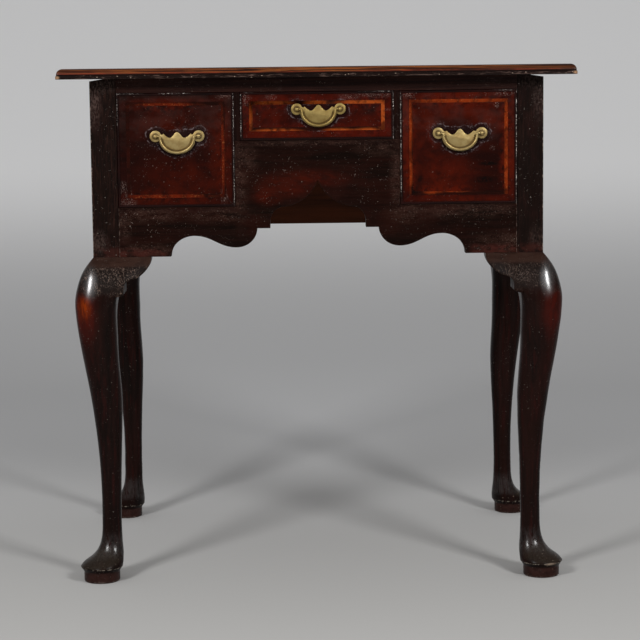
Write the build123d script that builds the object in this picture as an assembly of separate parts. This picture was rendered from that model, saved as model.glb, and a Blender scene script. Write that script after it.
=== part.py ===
from build123d import *
import os

# Lowboy: a small dressing table on four cabriole legs, with three drawers, a shaped apron and
# a moulded top. Millimetres, +Z up, front towards -Y, origin on the floor under the middle of the top.

# ---------------------------------------------------------------- driving dimensions
height = 710.0
top_width = 703.0
top_depth = 480.0
top_thickness = 14.0
side_overhang = 42.5
front_overhang = 32.0
back_overhang = 28.0
case_height = 243.0  # from the apron's underside to the top board

ovolo_radius = 8.2  # rounded upper edge of the top
ovolo_setback = 1.1  # the rounded part stands this far in from the band under it
top_corner_radius = 4.0
lower_band = 4.6  # height of the square band under the rounded part
relief_drop = 3.0  # the outer edge of each side stops this far short of the top
relief_width = 19.0

post_size = 36.0
side_thickness = 18.0
apron_thickness = 18.0
back_thickness = 14.0
back_inset = 4.0  # from the posts' back faces to the back board
back_lift = 13.0  # the back board ends this far above the case's underside
rail_height = 19.5
rail_depth = 40.0
partition_thickness = 8.0

tenon_length = 16.0
tenon_thickness = 6.0
tenon_inset = 6.0  # from the board's outer face to the tenon
tenon_shoulder = 5.0  # above and below the tenon
tenon_play = 0.1
housing = 4.0  # depth of the grooves that hold the partitions and the back board

side_drawer_width = 160.0  # opening widths and heights
side_drawer_height = 155.5
centre_drawer_height = 66.0
drawer_play = 0.5
runner_width = 18.0
runner_height = 15.0
guide_height = 20.0
kicker_reach = 18.0
stop_size = 20.0
stop_height = 30.0
stop_gap = 0.3
drawer_tail_room = 9.0  # between a closed drawer and the back board, filled by the stops

screw_radius = 2.0
screw_head_radius = 4.2
screw_head_height = 2.6
screw_bite = 8.5  # into the top
screw_play = 0.1

front_thickness = 20.0
drawer_side_thickness = 8.0
drawer_bottom_thickness = 6.0
bottom_lift = 6.0
groove_depth = 4.0
side_lowering = 6.0  # drawer sides stop below the top of the front
front_lap = 6.0  # wood left in front of the lapped dovetails
tail_share = 0.7  # share of its pitch that a dovetail takes
tail_slope = 0.15
deep_drawer_tails = 4
shallow_drawer_tails = 2

bead_width = 3.0
bead_proud = 1.5
bead_depth = 5.0
bead_rounding = 1.1
string_width = 4.8
string_depth = 1.0
string_inset = 12.2  # from the drawer front's edge to the stringing

post_spacing = 59.0  # between a handle's two posts
handle_shift = 2.0  # the handles sit this far to the right of the drawers' middles
side_handle_rise = 19.0  # above the drawer's middle
centre_handle_rise = 9.0
plate_thickness = 1.5
plate_bevel = 0.4
plate_margin = 0.6  # the plate shows this far below the bail
plate_waist = 4.5  # from the posts' line down to the plate's widest part
plate_peak = 7.0
plate_dip = 2.5
plate_dip_out = 10.4
plate_tip = 3.8
plate_tip_in = 10.8  # from the post to the tip beside its lobe
plate_notch = 2.6
plate_notch_in = 9.5
lobe_radius = 7.9
ball_radius = 3.2
ball_reach = 4.8  # from the drawer face to the middle of the ball
neck_radius = 1.7
shank_radius = 2.0
shank_play = 0.1
shank_past_nut = 1.5
nut_size = 9.0
nut_thickness = 3.0
bail_radius = 1.8
bail_half_width = 22.9
bail_drop = 22.3
bail_bend = 2.2
bail_end_gap = 0.6  # between the bail's thick part and the ball
pin_radius = 1.35
pin_play = 0.05
pin_length = 2.7  # inside the ball

pad_radius = 24.9  # turned ring under each foot
pad_height = 13.5
rim_radius = 29.2
rim_height = 20.0  # underside of the rim's square edge
rim_edge = 1.5
pad_inset = 1.65  # from the post's faces to the foot's axis

knee_drop = 73.0  # from the case down to where the knee ends
knee_swell = 25.8  # how far the knee stands out past the post's faces
knee_width = 57.8
ankle_height = 80.0
ankle_inset = 2.7
ankle_width = 26.9
foot_height = 60.0  # where the ankle starts to spread into the foot

# The leg's square section at a station: share of the way down this stretch, share of the change in
# its outer faces' place, share of the change in its width, then the outer corner's and the other
# corners' rounding as shares of the width.
knee_stations = [  # from the post to the knee's widest
    (0.0, 0.0, 0.0, 0.04, 0.03),
    (0.096, 0.233, 0.275, 0.17, 0.03),
    (0.233, 0.512, 0.606, 0.29, 0.03),
    (0.397, 0.736, 0.862, 0.36, 0.03),
    (0.589, 0.903, 0.991, 0.40, 0.05),
    (0.781, 1.0, 1.0, 0.42, 0.18),
    (1.0, 1.0, 0.927, 0.43, 0.34),
]
shank_stations = [  # from the knee to the ankle
    (0.12, 0.126, 0.168, 0.44, 0.42),
    (0.23, 0.302, 0.311, 0.45, 0.44),
    (0.38, 0.558, 0.456, 0.45, 0.45),
    (0.57, 0.814, 0.718, 0.46, 0.46),
    (0.75, 0.958, 0.926, 0.46, 0.46),
    (0.90, 1.0, 1.0, 0.46, 0.46),
    (1.00, 0.99, 1.0, 0.46, 0.46),
]
foot_stations = [  # from the ankle to the rim of the pad
    (0.0, 0.05, 0.051, 0.46, 0.46),
    (0.312, 0.152, 0.175, 0.46, 0.46),
    (0.584, 0.367, 0.410, 0.46, 0.46),
    (0.753, 0.618, 0.660, 0.47, 0.47),
    (0.862, 0.830, 0.860, 0.48, 0.48),
    (1.0, 1.0, 1.0, 0.49, 0.49),
]

# The ear under the apron, from the post's inner face. The points of its outline are shares of its
# length along the apron and of its drop.
ear_length = 43.5
ear_drop = 54.0
ear_depth = 26.0
ear_reveal = 0.4  # the ear lies this far behind the leg's own front surface
ear_root = 7.0  # the ear's blank starts this far inside the leg, then is cut to fit it
ear_shoulder = (0.368, 0.565)
ear_turn = (0.184, 0.648)
ear_foot = (0.149, 0.889)
ear_swell = ((0.41, 0.72), (1.03, 0.08))  # share of its length, share of the knee's swelling left

# The apron's lower edge: runs are along it, heights are above its underside.
step_in = 71.0  # from the post to the step
scallop_run = 32.0  # quarter ellipse from the step up to the top of the scallop
scallop_height = 28.0
lobe_out = 83.5  # from the middle to the lobe's inner end
lobe_low = 11.5
lobe_run = 28.5  # quarter ellipse from the lobe's lowest point to its inner end
lobe_rise = 26.0
niche_half = 65.5
niche_rise = 7.5
niche_corner_run = 17.5
niche_corner_rise = 21.5
ogee_point = 103.0

# ---------------------------------------------------------------- places worked out from them
half_case = top_width / 2 - side_overhang
case_front = front_overhang - top_depth / 2
case_back = top_depth / 2 - back_overhang
case_top = height - top_thickness
case_bottom = case_top - case_height
case_middle = (case_front + case_back) / 2
post_inner = half_case - post_size
front_post_back = case_front + post_size
back_post_front = case_back - post_size
side_inner = half_case - side_thickness
apron_back = case_front + apron_thickness
rail_bottom = case_top - rail_height
rail_back = case_front + rail_depth
back_face = case_back - back_inset
back_front = back_face - back_thickness

partition_outer = post_inner - side_drawer_width
partition_inner = partition_outer - partition_thickness
apron_top = rail_bottom - side_drawer_height
apron_rise_top = rail_bottom - centre_drawer_height
drawer_end = back_front - drawer_tail_room
knee_end = case_bottom - knee_drop
rim_top = rim_height + rim_edge


def block(x0, x1, y0, y1, z0, z1):
    """A box between two corners."""
    box = Box(x1 - x0, y1 - y0, z1 - z0)
    return Pos((x0 + x1) / 2, (y0 + y1) / 2, (z0 + z1) / 2) * box


def both_sides(solid):
    """The right-hand solid and its mirror image on the left."""
    return [mirror(solid, about=Plane.YZ), solid]


def to_back(solid):
    """Mirrors a solid from the front of the case to the back."""
    return mirror(solid, about=Plane.XZ.offset(-case_middle))


def round_bar(radius, start, end):
    """A cylinder from one point to another."""
    axis = Vector(*end) - Vector(*start)
    return extrude(Plane(origin=start, z_dir=axis) * Circle(radius), axis.length)


def save(name, *solids):
    """Writes one node, as one solid or as a group of separate ones."""
    shapes = [piece for solid in solids for piece in solid.solids()]
    node = shapes[0] if len(shapes) == 1 else Compound(children=shapes)
    node.label = name
    export_step(node, f"parts/{name}.step")


# ---------------------------------------------------------------- top
def make_top():
    """Board with a square lower band and a rounded upper edge set back from it."""
    x, y = top_width / 2, top_depth / 2
    band_top = case_top + lower_band
    lower = block(-x, x, -y, y, case_top, band_top)
    lower = fillet(lower.edges().filter_by(Axis.Z), top_corner_radius)
    x, y = x - ovolo_setback, y - ovolo_setback
    upper = block(-x, x, -y, y, band_top, height)
    upper = fillet(upper.edges().filter_by(Axis.Z), top_corner_radius)
    upper = fillet(upper.edges().group_by(Axis.Z)[-1], ovolo_radius)
    return upper + lower


# ---------------------------------------------------------------- legs
def leg_station(z, inset, width, outer_share, corner_share):
    """Closed outline of the front right leg at one height: a square with rounded corners."""
    outer, other = outer_share * width, corner_share * width
    x1, y0 = half_case - inset, case_front + inset
    x0, y1 = x1 - width, y0 + width
    cut = 1 - 0.5**0.5

    def arc(corner, radius, sx, sy):
        """Rounds a corner, from its side along Y to its side along X."""
        x, y = corner
        near = (x - sx * cut * radius, y - sy * cut * radius, z)
        return (x, y - sy * radius, z), near, (x - sx * radius, y, z)

    a0, am, a1 = arc((x1, y1), other, 1, 1)
    b1, bm, b0 = arc((x0, y1), other, -1, 1)
    c0, cm, c1 = arc((x0, y0), other, -1, -1)
    d1, dm, d0 = arc((x1, y0), outer, 1, -1)
    return Wire(
        [
            ThreePointArc(a0, am, a1).edge(),
            Line(a1, b0).edge(),
            ThreePointArc(b0, bm, b1).edge(),
            Line(b1, c0).edge(),
            ThreePointArc(c0, cm, c1).edge(),
            Line(c1, d0).edge(),
            ThreePointArc(d0, dm, d1).edge(),
            Line(d1, a0).edge(),
        ]
    )


def make_foot():
    """Turned pad: a ring on the floor under a spreading rim."""
    x, y = half_case - pad_inset, case_front + pad_inset
    outline = make_face(
        [
            Line((0, 0), (pad_radius, 0)).edge(),
            Line((pad_radius, 0), (pad_radius, pad_height)).edge(),
            Spline((pad_radius, pad_height), (rim_radius, rim_height), tangents=((1, 0.7), (0.3, 1))).edge(),
            Line((rim_radius, rim_height), (rim_radius, rim_top)).edge(),
            Line((rim_radius, rim_top), (0, rim_top)).edge(),
            Line((0, rim_top), (0, 0)).edge(),
        ]
    )
    return Pos(x, y, 0) * revolve(Plane.XZ * outline, Axis.Z)


def leg_stretch(stations, z0, z1, inset0, inset1, width0, width1):
    """The leg's outlines along one stretch, from its first height, inset and width to its last."""
    outlines = []
    for down, moved, grown, outer_share, corner_share in stations:
        z = z0 + down * (z1 - z0)
        inset = inset0 + moved * (inset1 - inset0)
        width = width0 + grown * (width1 - width0)
        outlines.append(leg_station(z, inset, width, outer_share, corner_share))
    return outlines


def make_leg_blank():
    """Front right leg: square post, cabriole shank and pad foot, before any mortise."""
    knee = (0, -knee_swell, post_size, knee_width)
    shank = (-knee_swell, ankle_inset, knee_width, ankle_width)
    foot = (ankle_inset, pad_inset - rim_radius, ankle_width, 2 * rim_radius)
    outlines = leg_stretch(knee_stations, case_bottom, knee_end, *knee)
    outlines += leg_stretch(shank_stations, knee_end, ankle_height, *shank)
    outlines += leg_stretch(foot_stations, foot_height, rim_top, *foot)
    post = block(post_inner, half_case, case_front, front_post_back, case_bottom, case_top)
    post -= relief_wedge()
    return post + Solid.make_loft(outlines) + make_foot()


def relief_wedge():
    """What is planed off the outer top edge of the right-hand posts and side."""
    profile = Polyline(
        (half_case - relief_width, case_top),
        (half_case, case_top),
        (half_case, case_top - relief_drop),
        close=True,
    )
    return Pos(0, case_back, 0) * extrude(Plane.XZ * make_face(profile), case_back - case_front)


def make_ear(leg):
    """Knee block under the apron beside the front right leg, cut to fit the leg."""
    inner = post_inner
    start_x, end_x = inner + ear_root, inner - ear_length
    toe = case_bottom - ear_drop
    shoulder, turn, foot = [
        (inner - along * ear_length, case_bottom - down * ear_drop)
        for along, down in (ear_shoulder, ear_turn, ear_foot)
    ]
    outline = make_face(
        [
            Line((start_x, case_bottom), (end_x, case_bottom)).edge(),
            Spline((end_x, case_bottom), shoulder, tangents=((0, -1), (1, -0.12))).edge(),
            Spline(shoulder, turn, foot, tangents=((1, -0.12), (0.12, -1))).edge(),
            Spline(foot, (start_x, toe), tangents=((0.12, -1), (1, -0.5))).edge(),
            Line((start_x, toe), (start_x, case_bottom)).edge(),
        ]
    )
    slab = Pos(0, case_front + ear_depth, 0) * extrude(Plane.XZ * outline, knee_swell + ear_depth)
    bulge = [(down * knee_drop, out * knee_swell) for down, out, *rest in knee_stations[:-1]]

    def profile(x, share):
        """Section of the swelling front surface, in a plane across the apron."""
        front = [(x, case_front + ear_reveal - share * out, case_bottom - drop) for drop, out in bulge]
        lower = (x, case_front + ear_depth, front[-1][2])
        upper = (x, case_front + ear_depth, case_bottom)
        spline = Spline(*front).edge()
        return Wire(
            [spline, Line(front[-1], lower).edge(), Line(lower, upper).edge(), Line(upper, front[0]).edge()]
        )

    shares = [(start_x, 1.0), (inner, 1.0)]
    shares += [(inner - share * ear_length, swell) for share, swell in ear_swell]
    swelling = Solid.make_loft([profile(x, swell) for x, swell in shares])
    return (slab & swelling) - leg


# ---------------------------------------------------------------- case
def tenoned_side():
    """Right-hand side board with a tenon at each end."""
    bottom, top = case_bottom, case_top
    board = block(side_inner, half_case, front_post_back, back_post_front, bottom, top)
    board -= relief_wedge()
    return board + side_tenons(0)


def side_tenons(play):
    """The side's two tenons, or with play the mortises for them."""
    x1 = half_case - tenon_inset + play
    x0 = x1 - tenon_thickness - 2 * play
    y0 = front_post_back - tenon_length - play
    y1 = back_post_front + tenon_length + play
    z0 = case_bottom + tenon_shoulder - play
    z1 = case_top - relief_drop - tenon_shoulder + play
    tenons = block(x0, x1, y0, front_post_back, z0, z1)
    return tenons + block(x0, x1, back_post_front, y1, z0, z1)


def front_tenons(z0, z1, play):
    """Tenons at both ends of a board along the front, or with play the mortises."""
    y0 = case_front + tenon_inset - play
    y1 = y0 + tenon_thickness + 2 * play
    reach = post_inner + tenon_length + play
    low, high = z0 + tenon_shoulder - play, z1 - tenon_shoulder + play
    right = block(post_inner, reach, y0, y1, low, high)
    return right + mirror(right, about=Plane.YZ)


def quarter(centre, run, rise, start, turn):
    """Quarter of an ellipse with level and upright axes."""
    return EllipticalCenterArc(centre, run, rise, start_angle=start, arc_size=turn).edge()


def apron_outline():
    """Right half of the apron from the front: shaped below, taller between the side drawers."""
    base = case_bottom
    step_x = post_inner - step_in
    scallop_x = step_x - scallop_run
    lobe_x = lobe_out + lobe_run
    lobe_top = base + lobe_low + lobe_rise
    niche_start = lobe_top + niche_rise
    corner_x = niche_half - niche_corner_run
    shoulder = (corner_x, niche_start + niche_corner_rise)
    peak = (0, base + ogee_point)
    return make_face(
        [
            Line(peak, (0, apron_rise_top)).edge(),
            Line((0, apron_rise_top), (partition_outer, apron_rise_top)).edge(),
            Line((partition_outer, apron_rise_top), (partition_outer, apron_top)).edge(),
            Line((partition_outer, apron_top), (post_inner, apron_top)).edge(),
            Line((post_inner, apron_top), (post_inner, base)).edge(),
            Line((post_inner, base), (step_x, base)).edge(),
            quarter((scallop_x, base), scallop_run, scallop_height, 0, 90),
            Spline(
                (scallop_x, base + scallop_height), (lobe_x, base + lobe_low), tangents=((-1, 0), (-1, 0))
            ).edge(),
            quarter((lobe_x, lobe_top), lobe_run, lobe_rise, 270, -90),
            Line((lobe_out, lobe_top), (niche_half, lobe_top)).edge(),
            Line((niche_half, lobe_top), (niche_half, niche_start)).edge(),
            quarter((corner_x, niche_start), niche_corner_run, niche_corner_rise, 0, 90),
            Spline(shoulder, peak, tangents=((-1, 0.12), (-0.4, 1))).edge(),
        ]
    )


def make_apron():
    """Shaped front board with a tenon into each front post."""
    half = Pos(0, apron_back, 0) * extrude(Plane.XZ * apron_outline(), apron_thickness)
    board = half + mirror(half, about=Plane.YZ)
    return board + front_tenons(case_bottom, apron_top, 0)


def make_rail():
    """Rail over the drawers, tenoned into the front posts."""
    board = block(-post_inner, post_inner, case_front, front_post_back, rail_bottom, case_top)
    board += block(-side_inner, side_inner, front_post_back, rail_back, rail_bottom, case_top)
    return board + front_tenons(rail_bottom, case_top, 0)


def make_partition():
    """Upright board between the right-hand drawer and the centre one, with a front edge on show."""
    x0, x1 = partition_inner, partition_outer
    bottom = apron_top - runner_height
    board = block(x0, x1, apron_back, back_front + housing, bottom, rail_bottom)
    return board + block(x0, x1, case_front, apron_back, apron_rise_top, rail_bottom)


def make_back():
    """Back board with a tongue into each back post and grooves for the partitions."""
    board = block(-post_inner, post_inner, back_front, back_face, case_bottom + back_lift, case_top)
    return board + back_tongues(0) - both_sides(make_partition())


def back_tongues(play):
    """The back board's tongues, or with play the grooves for them."""
    y1 = back_face - housing + play
    y0 = y1 - tenon_thickness - 2 * play
    right = block(
        post_inner,
        post_inner + 2 * housing + play,
        y0,
        y1,
        case_bottom + back_lift + tenon_shoulder - play,
        case_top - tenon_shoulder + play,
    )
    return right + mirror(right, about=Plane.YZ)


def make_runners():
    """Ledges under the drawers: outer, inner and centre, here on the right."""
    low, high = apron_top - runner_height, apron_top
    outer = block(post_inner - runner_width, post_inner, apron_back, back_front, low, high)
    outer += block(post_inner, side_inner, front_post_back, back_post_front, low, high)
    inner = block(partition_outer, partition_outer + runner_width, apron_back, back_front, low, high)
    centre = block(
        partition_inner - runner_width,
        partition_inner,
        apron_back,
        back_front,
        apron_rise_top - runner_height,
        apron_rise_top,
    )
    return [outer, inner, centre]


def make_guide():
    """Strip that steers the right-hand drawer's outer side, on its runner."""
    top = apron_top + guide_height
    return block(post_inner, side_inner, front_post_back, back_post_front, apron_top, top)


def kicker_screws():
    """Where screws go up through the kickers into the top, on the right: x and y."""
    outer_x = (post_inner - kicker_reach + side_inner) / 2
    inner_x = (partition_inner + partition_outer) / 2
    near, far = 0.2, 0.8
    span = back_post_front - rail_back
    return [
        (outer_x, rail_back + near * span),
        (outer_x, rail_back + far * span),
        (inner_x, rail_back + span / 2),
    ]


def make_screw(x, y, play):
    """Countersunk screw up through a kicker, or with play its hole."""
    head = Cone(screw_head_radius + play, screw_radius + play, screw_head_height)
    recess = rail_height / 4
    base = rail_bottom + recess
    screw = Pos(x, y, base + screw_head_height / 2) * head
    screw += round_bar(screw_radius + play, (x, y, base), (x, y, case_top + screw_bite + play))
    if play:
        screw += round_bar(screw_head_radius + play, (x, y, rail_bottom - play), (x, y, base))
    return screw


def make_kickers():
    """Strips over the drawers that stop them tipping and carry the top, here on the right."""
    outer = block(post_inner - kicker_reach, side_inner, rail_back, back_post_front, rail_bottom, case_top)
    x0, x1 = partition_inner - kicker_reach, partition_outer + kicker_reach
    inner = block(x0, x1, rail_back, back_front, rail_bottom, case_top)
    for x, y in kicker_screws():
        hole = make_screw(x, y, screw_play)
        outer -= hole
        inner -= hole
    return [outer, inner]


def make_stops():
    """Blocks on the back board that stop each drawer flush with the front."""
    side_middle = (partition_outer + post_inner) / 2
    quarter = side_drawer_width / 4
    places = [
        (side_middle - quarter, apron_top),
        (side_middle + quarter, apron_top),
        (partition_inner / 2, apron_rise_top),
    ]
    half = stop_size / 2
    stops = []
    for x, shelf in places:
        low = shelf + bottom_lift + drawer_bottom_thickness + side_lowering
        stops.append(block(x - half, x + half, drawer_end + stop_gap, back_front, low, low + stop_height))
    return stops


# ---------------------------------------------------------------- drawers
def dovetails(x0, x1, root_y, end_y, z0, z1, count):
    """A row of dovetail tails between two heights, flaring from root_y to end_y."""
    pitch = (z1 - z0) / count
    wide = tail_share * pitch / 2
    narrow = wide - tail_slope * abs(end_y - root_y)
    tails = []
    for i in range(count):
        middle = z0 + (i + 0.5) * pitch
        shape = Polyline(
            (root_y, middle - narrow),
            (end_y, middle - wide),
            (end_y, middle + wide),
            (root_y, middle + narrow),
            close=True,
        )
        tails.append(Pos(x0, 0, 0) * extrude(Plane.YZ * make_face(shape), x1 - x0))
    return tails


def rectangle_ring(outer, inner, y0, y1):
    """A rectangular frame in the front view, from depth y0 to y1."""
    return block(outer[0], outer[1], y0, y1, outer[2], outer[3]) - block(
        inner[0], inner[1], y0, y1, inner[2], inner[3]
    )


def mitred(frame, x0, x1, z0, z1, reach):
    """Cuts a rectangular frame at its corners into a left, right, lower and upper strip."""
    half = min(x1 - x0, z1 - z0) / 2
    wedges = [
        [(x0, z0), (x0 + half, z0 + half), (x0 + half, z1 - half), (x0, z1)],
        [(x1, z0), (x1 - half, z0 + half), (x1 - half, z1 - half), (x1, z1)],
        [(x0, z0), (x1, z0), (x1 - half, z0 + half), (x0 + half, z0 + half)],
        [(x0, z1), (x1, z1), (x1 - half, z1 - half), (x0 + half, z1 - half)],
    ]
    strips = []
    for points in wedges:
        unique = [p for i, p in enumerate(points) if p != points[i - 1]]
        wedge = extrude(Plane.XZ * make_face(Polyline(*unique, close=True)), reach, both=True)
        strips.append(frame & (Pos(0, case_front, 0) * wedge))
    return strips


def inlaid_strips(x0, x1, z0, z1, width, depth):
    """Four flat strips with mitred ends, let into the drawer's face round a rectangle."""
    w = width
    outer = [(x0, z0), (x1, z0), (x1, z1), (x0, z1)]
    inner = [(x0 + w, z0 + w), (x1 - w, z0 + w), (x1 - w, z1 - w), (x0 + w, z1 - w)]
    strips = []
    for i in range(4):
        j = (i + 1) % 4
        shape = make_face(Polyline(outer[i], outer[j], inner[j], inner[i], close=True))
        strips.append(Pos(0, case_front + depth, 0) * extrude(Plane.XZ * shape, depth))
    return strips


def make_drawer(x0, x1, z0, z1, tails, handle_rise):
    """All the pieces of one drawer in its opening, by name."""
    x0, x1, z0, z1 = x0 + drawer_play, x1 - drawer_play, z0 + stop_gap, z1 - drawer_play
    face, front_back = case_front, case_front + front_thickness
    side = drawer_side_thickness
    side_top = z1 - side_lowering
    tail_end = face + front_lap
    floor_low = z0 + bottom_lift
    floor_high = floor_low + drawer_bottom_thickness
    back_front_y = drawer_end - side

    floor = block(
        x0 + side - groove_depth,
        x1 - side + groove_depth,
        front_back - groove_depth,
        drawer_end,
        floor_low,
        floor_high,
    )
    sides = {}
    tail_solids = []
    for name, a, b in (("left", x0, x0 + side), ("right", x1 - side, x1)):
        near = dovetails(a, b, front_back, tail_end, z0, side_top, tails)
        far = dovetails(a, b, back_front_y, drawer_end, floor_high, side_top - side_lowering, tails)
        tail_solids += near + far
        board = block(a, b, front_back, back_front_y, z0, side_top)
        board += block(a, b, back_front_y, drawer_end, z0, floor_high)
        sides[name] = board + near + far - floor

    front = block(x0, x1, face, front_back, z0, z1) - tail_solids - floor
    outer = (x0, x1, z0, z1)
    inner = (x0 + bead_width, x1 - bead_width, z0 + bead_width, z1 - bead_width)
    rebate = rectangle_ring(outer, inner, face, face + bead_depth)
    bead = rectangle_ring(outer, inner, face - bead_proud, face + bead_depth)
    bead = fillet(bead.edges().group_by(Axis.Y)[0], bead_rounding)
    i = string_inset
    string = inlaid_strips(x0 + i, x1 - i, z0 + i, z1 - i, string_width, string_depth)
    front = front - rebate - string

    back = block(x0, x1, back_front_y, drawer_end, floor_high, side_top - side_lowering) - tail_solids

    middle_x = (x0 + x1) / 2 + handle_shift
    middle_z = (z0 + z1) / 2 + handle_rise
    handle = make_handle(middle_x, middle_z)
    for x in (middle_x - post_spacing / 2, middle_x + post_spacing / 2):
        front -= round_bar(shank_radius + shank_play, (x, face, middle_z), (x, front_back, middle_z))
    return {
        "drawer_front": [front],
        "drawer_cockbead": mitred(bead, x0, x1, z0, z1, 2 * bead_depth),
        "drawer_stringing": string,
        "drawer_left_side": [sides["left"]],
        "drawer_right_side": [sides["right"]],
        "drawer_back": [back],
        "drawer_bottom": [floor],
        **handle,
    }


# ---------------------------------------------------------------- handles
def plate_outline():
    """Right half of the back plate in the front view, about the line through its posts."""
    half = post_spacing / 2
    peak, dip = (0, plate_peak), (plate_dip_out, -plate_dip)
    tip = (half - plate_tip_in, plate_tip)
    notch = (half - plate_notch_in, plate_notch)
    edge = bail_half_width + bail_radius
    belly = bail_drop + bail_radius + plate_margin
    body = make_face(
        [
            Spline(peak, dip, tip, tangents=((0.9, -0.5), (0.85, 0.75))).edge(),
            Line(tip, notch).edge(),
            Line(notch, (half, plate_notch)).edge(),
            Line((half, plate_notch), (half, -plate_waist)).edge(),
            Line((half, -plate_waist), (edge, -plate_waist)).edge(),
            quarter((0, -plate_waist), edge, belly - plate_waist, 270, 90),
            Line((0, -belly), peak).edge(),
        ]
    )
    return body + Pos(half, 0) * Circle(lobe_radius)


def bail_path(plane):
    """Centre line of the bail: out of one ball, round the U and into the other."""
    start = post_spacing / 2 - ball_radius - bail_end_gap
    turn = bail_half_width + bail_bend
    cut = bail_bend * 0.5**0.5
    low = bail_drop - bail_bend
    lines = [
        Line((-start, 0), (-turn, 0)),
        ThreePointArc((-turn, 0), (-turn + cut, -bail_bend + cut), (-bail_half_width, -bail_bend)),
        EllipticalCenterArc((0, -bail_bend), bail_half_width, low, start_angle=180, arc_size=180),
        ThreePointArc((bail_half_width, -bail_bend), (turn - cut, -bail_bend + cut), (turn, 0)),
        Line((turn, 0), (start, 0)),
    ]
    return Wire([(plane * line).edge() for line in lines])


def make_handle(x, z):
    """Back plate, two posts with their nuts, and the bail, about the middle of the posts' line."""
    face = case_front
    pivot_y = face - ball_reach
    plane = Plane(origin=(x, face, z), x_dir=(1, 0, 0), z_dir=(0, -1, 0))
    half = plate_outline()
    plate = extrude(plane * (half + mirror(half, about=Plane.YZ)), plate_thickness)
    outer_rim = plate.faces().sort_by(Axis.Y)[0].outer_wire().edges()
    plate = chamfer(outer_rim, plate_bevel)

    posts, nuts = [], []
    inside = face + front_thickness
    shank_end = inside + nut_thickness + shank_past_nut
    for side in (-1, 1):
        px = x + side * post_spacing / 2
        plate -= round_bar(shank_radius + shank_play, (px, face - plate_thickness, z), (px, face, z))
        post = Pos(px, pivot_y, z) * Rot(0, 0, -90) * Sphere(ball_radius)
        post += round_bar(neck_radius, (px, pivot_y, z), (px, face - plate_thickness, z))
        post += round_bar(shank_radius, (px, face - plate_thickness, z), (px, shank_end, z))
        mouth = px - side * 2 * ball_radius
        blind = px - side * (ball_radius - pin_length - 2 * pin_play)
        post -= round_bar(pin_radius + pin_play, (mouth, pivot_y, z), (blind, pivot_y, z))
        posts.append(post)
        half_nut = nut_size / 2
        nut = block(px - half_nut, px + half_nut, inside, inside + nut_thickness, z - half_nut, z + half_nut)
        nuts.append(nut - round_bar(shank_radius + shank_play, (px, inside, z), (px, shank_end, z)))

    pivot = Plane(origin=(x, pivot_y, z), x_dir=(1, 0, 0), z_dir=(0, -1, 0))
    path = bail_path(pivot)
    start = path @ 0
    bail = sweep(Plane(origin=start, z_dir=path % 0) * Circle(bail_radius), path=path)
    thick = post_spacing / 2 - ball_radius - bail_end_gap
    tip = post_spacing / 2 - ball_radius + pin_length
    for side in (-1, 1):
        root = thick - bail_radius
        bail += round_bar(pin_radius, (x + side * root, pivot_y, z), (x + side * tip, pivot_y, z))
    return {
        "handle_plate": [plate],
        "handle_posts": posts,
        "handle_nuts": nuts,
        "bail": [bail],
    }


# ---------------------------------------------------------------- everything
def main():
    """Builds every piece and writes one STEP file for each node."""
    os.makedirs("parts", exist_ok=True)

    screws = [make_screw(x, y, 0) for x, y in kicker_screws()]
    holes = [make_screw(x, y, screw_play) for x, y in kicker_screws()]
    save("top_board", make_top() - [h for hole in holes for h in both_sides(hole)])
    save("top_screws", *[s for screw in screws for s in both_sides(screw)])

    blank = make_leg_blank()
    mortises = side_tenons(tenon_play)
    front_mortises = front_tenons(case_bottom, apron_top, tenon_play)
    front_mortises += front_tenons(rail_bottom, case_top, tenon_play)
    front_leg = blank - mortises - front_mortises
    back_leg = to_back(blank) - mortises - back_tongues(tenon_play)
    for name, leg in zip(("left", "right"), both_sides(front_leg)):
        save(f"front_{name}_leg", leg)
    for name, leg in zip(("left", "right"), both_sides(back_leg)):
        save(f"back_{name}_leg", leg)

    ear = make_ear(blank)
    diagonal = Plane(origin=(half_case, case_front, 0), z_dir=(1, 1, 0))
    side_ear = mirror(ear, about=diagonal)
    for name, piece in zip(("left", "right"), both_sides(ear)):
        save(f"front_{name}_apron_ear", piece)
    for name, piece in zip(("left", "right"), both_sides(side_ear)):
        save(f"front_{name}_side_ear", piece)
    for name, piece in zip(("left", "right"), both_sides(to_back(side_ear))):
        save(f"back_{name}_side_ear", piece)

    partition = make_partition()
    for name, piece in zip(("left", "right"), both_sides(tenoned_side())):
        save(f"{name}_side_board", piece)
    for name, piece in zip(("left", "right"), both_sides(partition)):
        save(f"{name}_partition", piece)
    save("back_board", make_back())
    save("apron", make_apron())
    save("top_rail", make_rail())
    save("drawer_runners", *[s for runner in make_runners() for s in both_sides(runner)])
    save("drawer_guides", *both_sides(make_guide()))
    save("drawer_kickers", *[s for kicker in make_kickers() for s in both_sides(kicker)])
    save("drawer_stops", *[s for stop in make_stops() for s in both_sides(stop)])

    deep = (apron_top, rail_bottom, deep_drawer_tails, side_handle_rise)
    shallow = (apron_rise_top, rail_bottom, shallow_drawer_tails, centre_handle_rise)
    openings = {
        "left": (-post_inner, -partition_outer, *deep),
        "centre": (-partition_inner, partition_inner, *shallow),
        "right": (partition_outer, post_inner, *deep),
    }
    for place, opening in openings.items():
        for piece, solids in make_drawer(*opening).items():
            save(f"{place}_{piece}", *solids)


main()
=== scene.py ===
"""Lowboy: a small dressing table on four cabriole legs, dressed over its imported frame.

Sizes are in millimetres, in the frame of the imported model: +Z up, front towards -Y, origin on the
floor under the middle of the top. A mesh is turned into metres only when it is made.
"""

from __future__ import annotations

import logging
from dataclasses import dataclass, field
from enum import Enum
from typing import Union

import bmesh
import bpy
import numpy as np
from mathutils import Matrix

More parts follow.
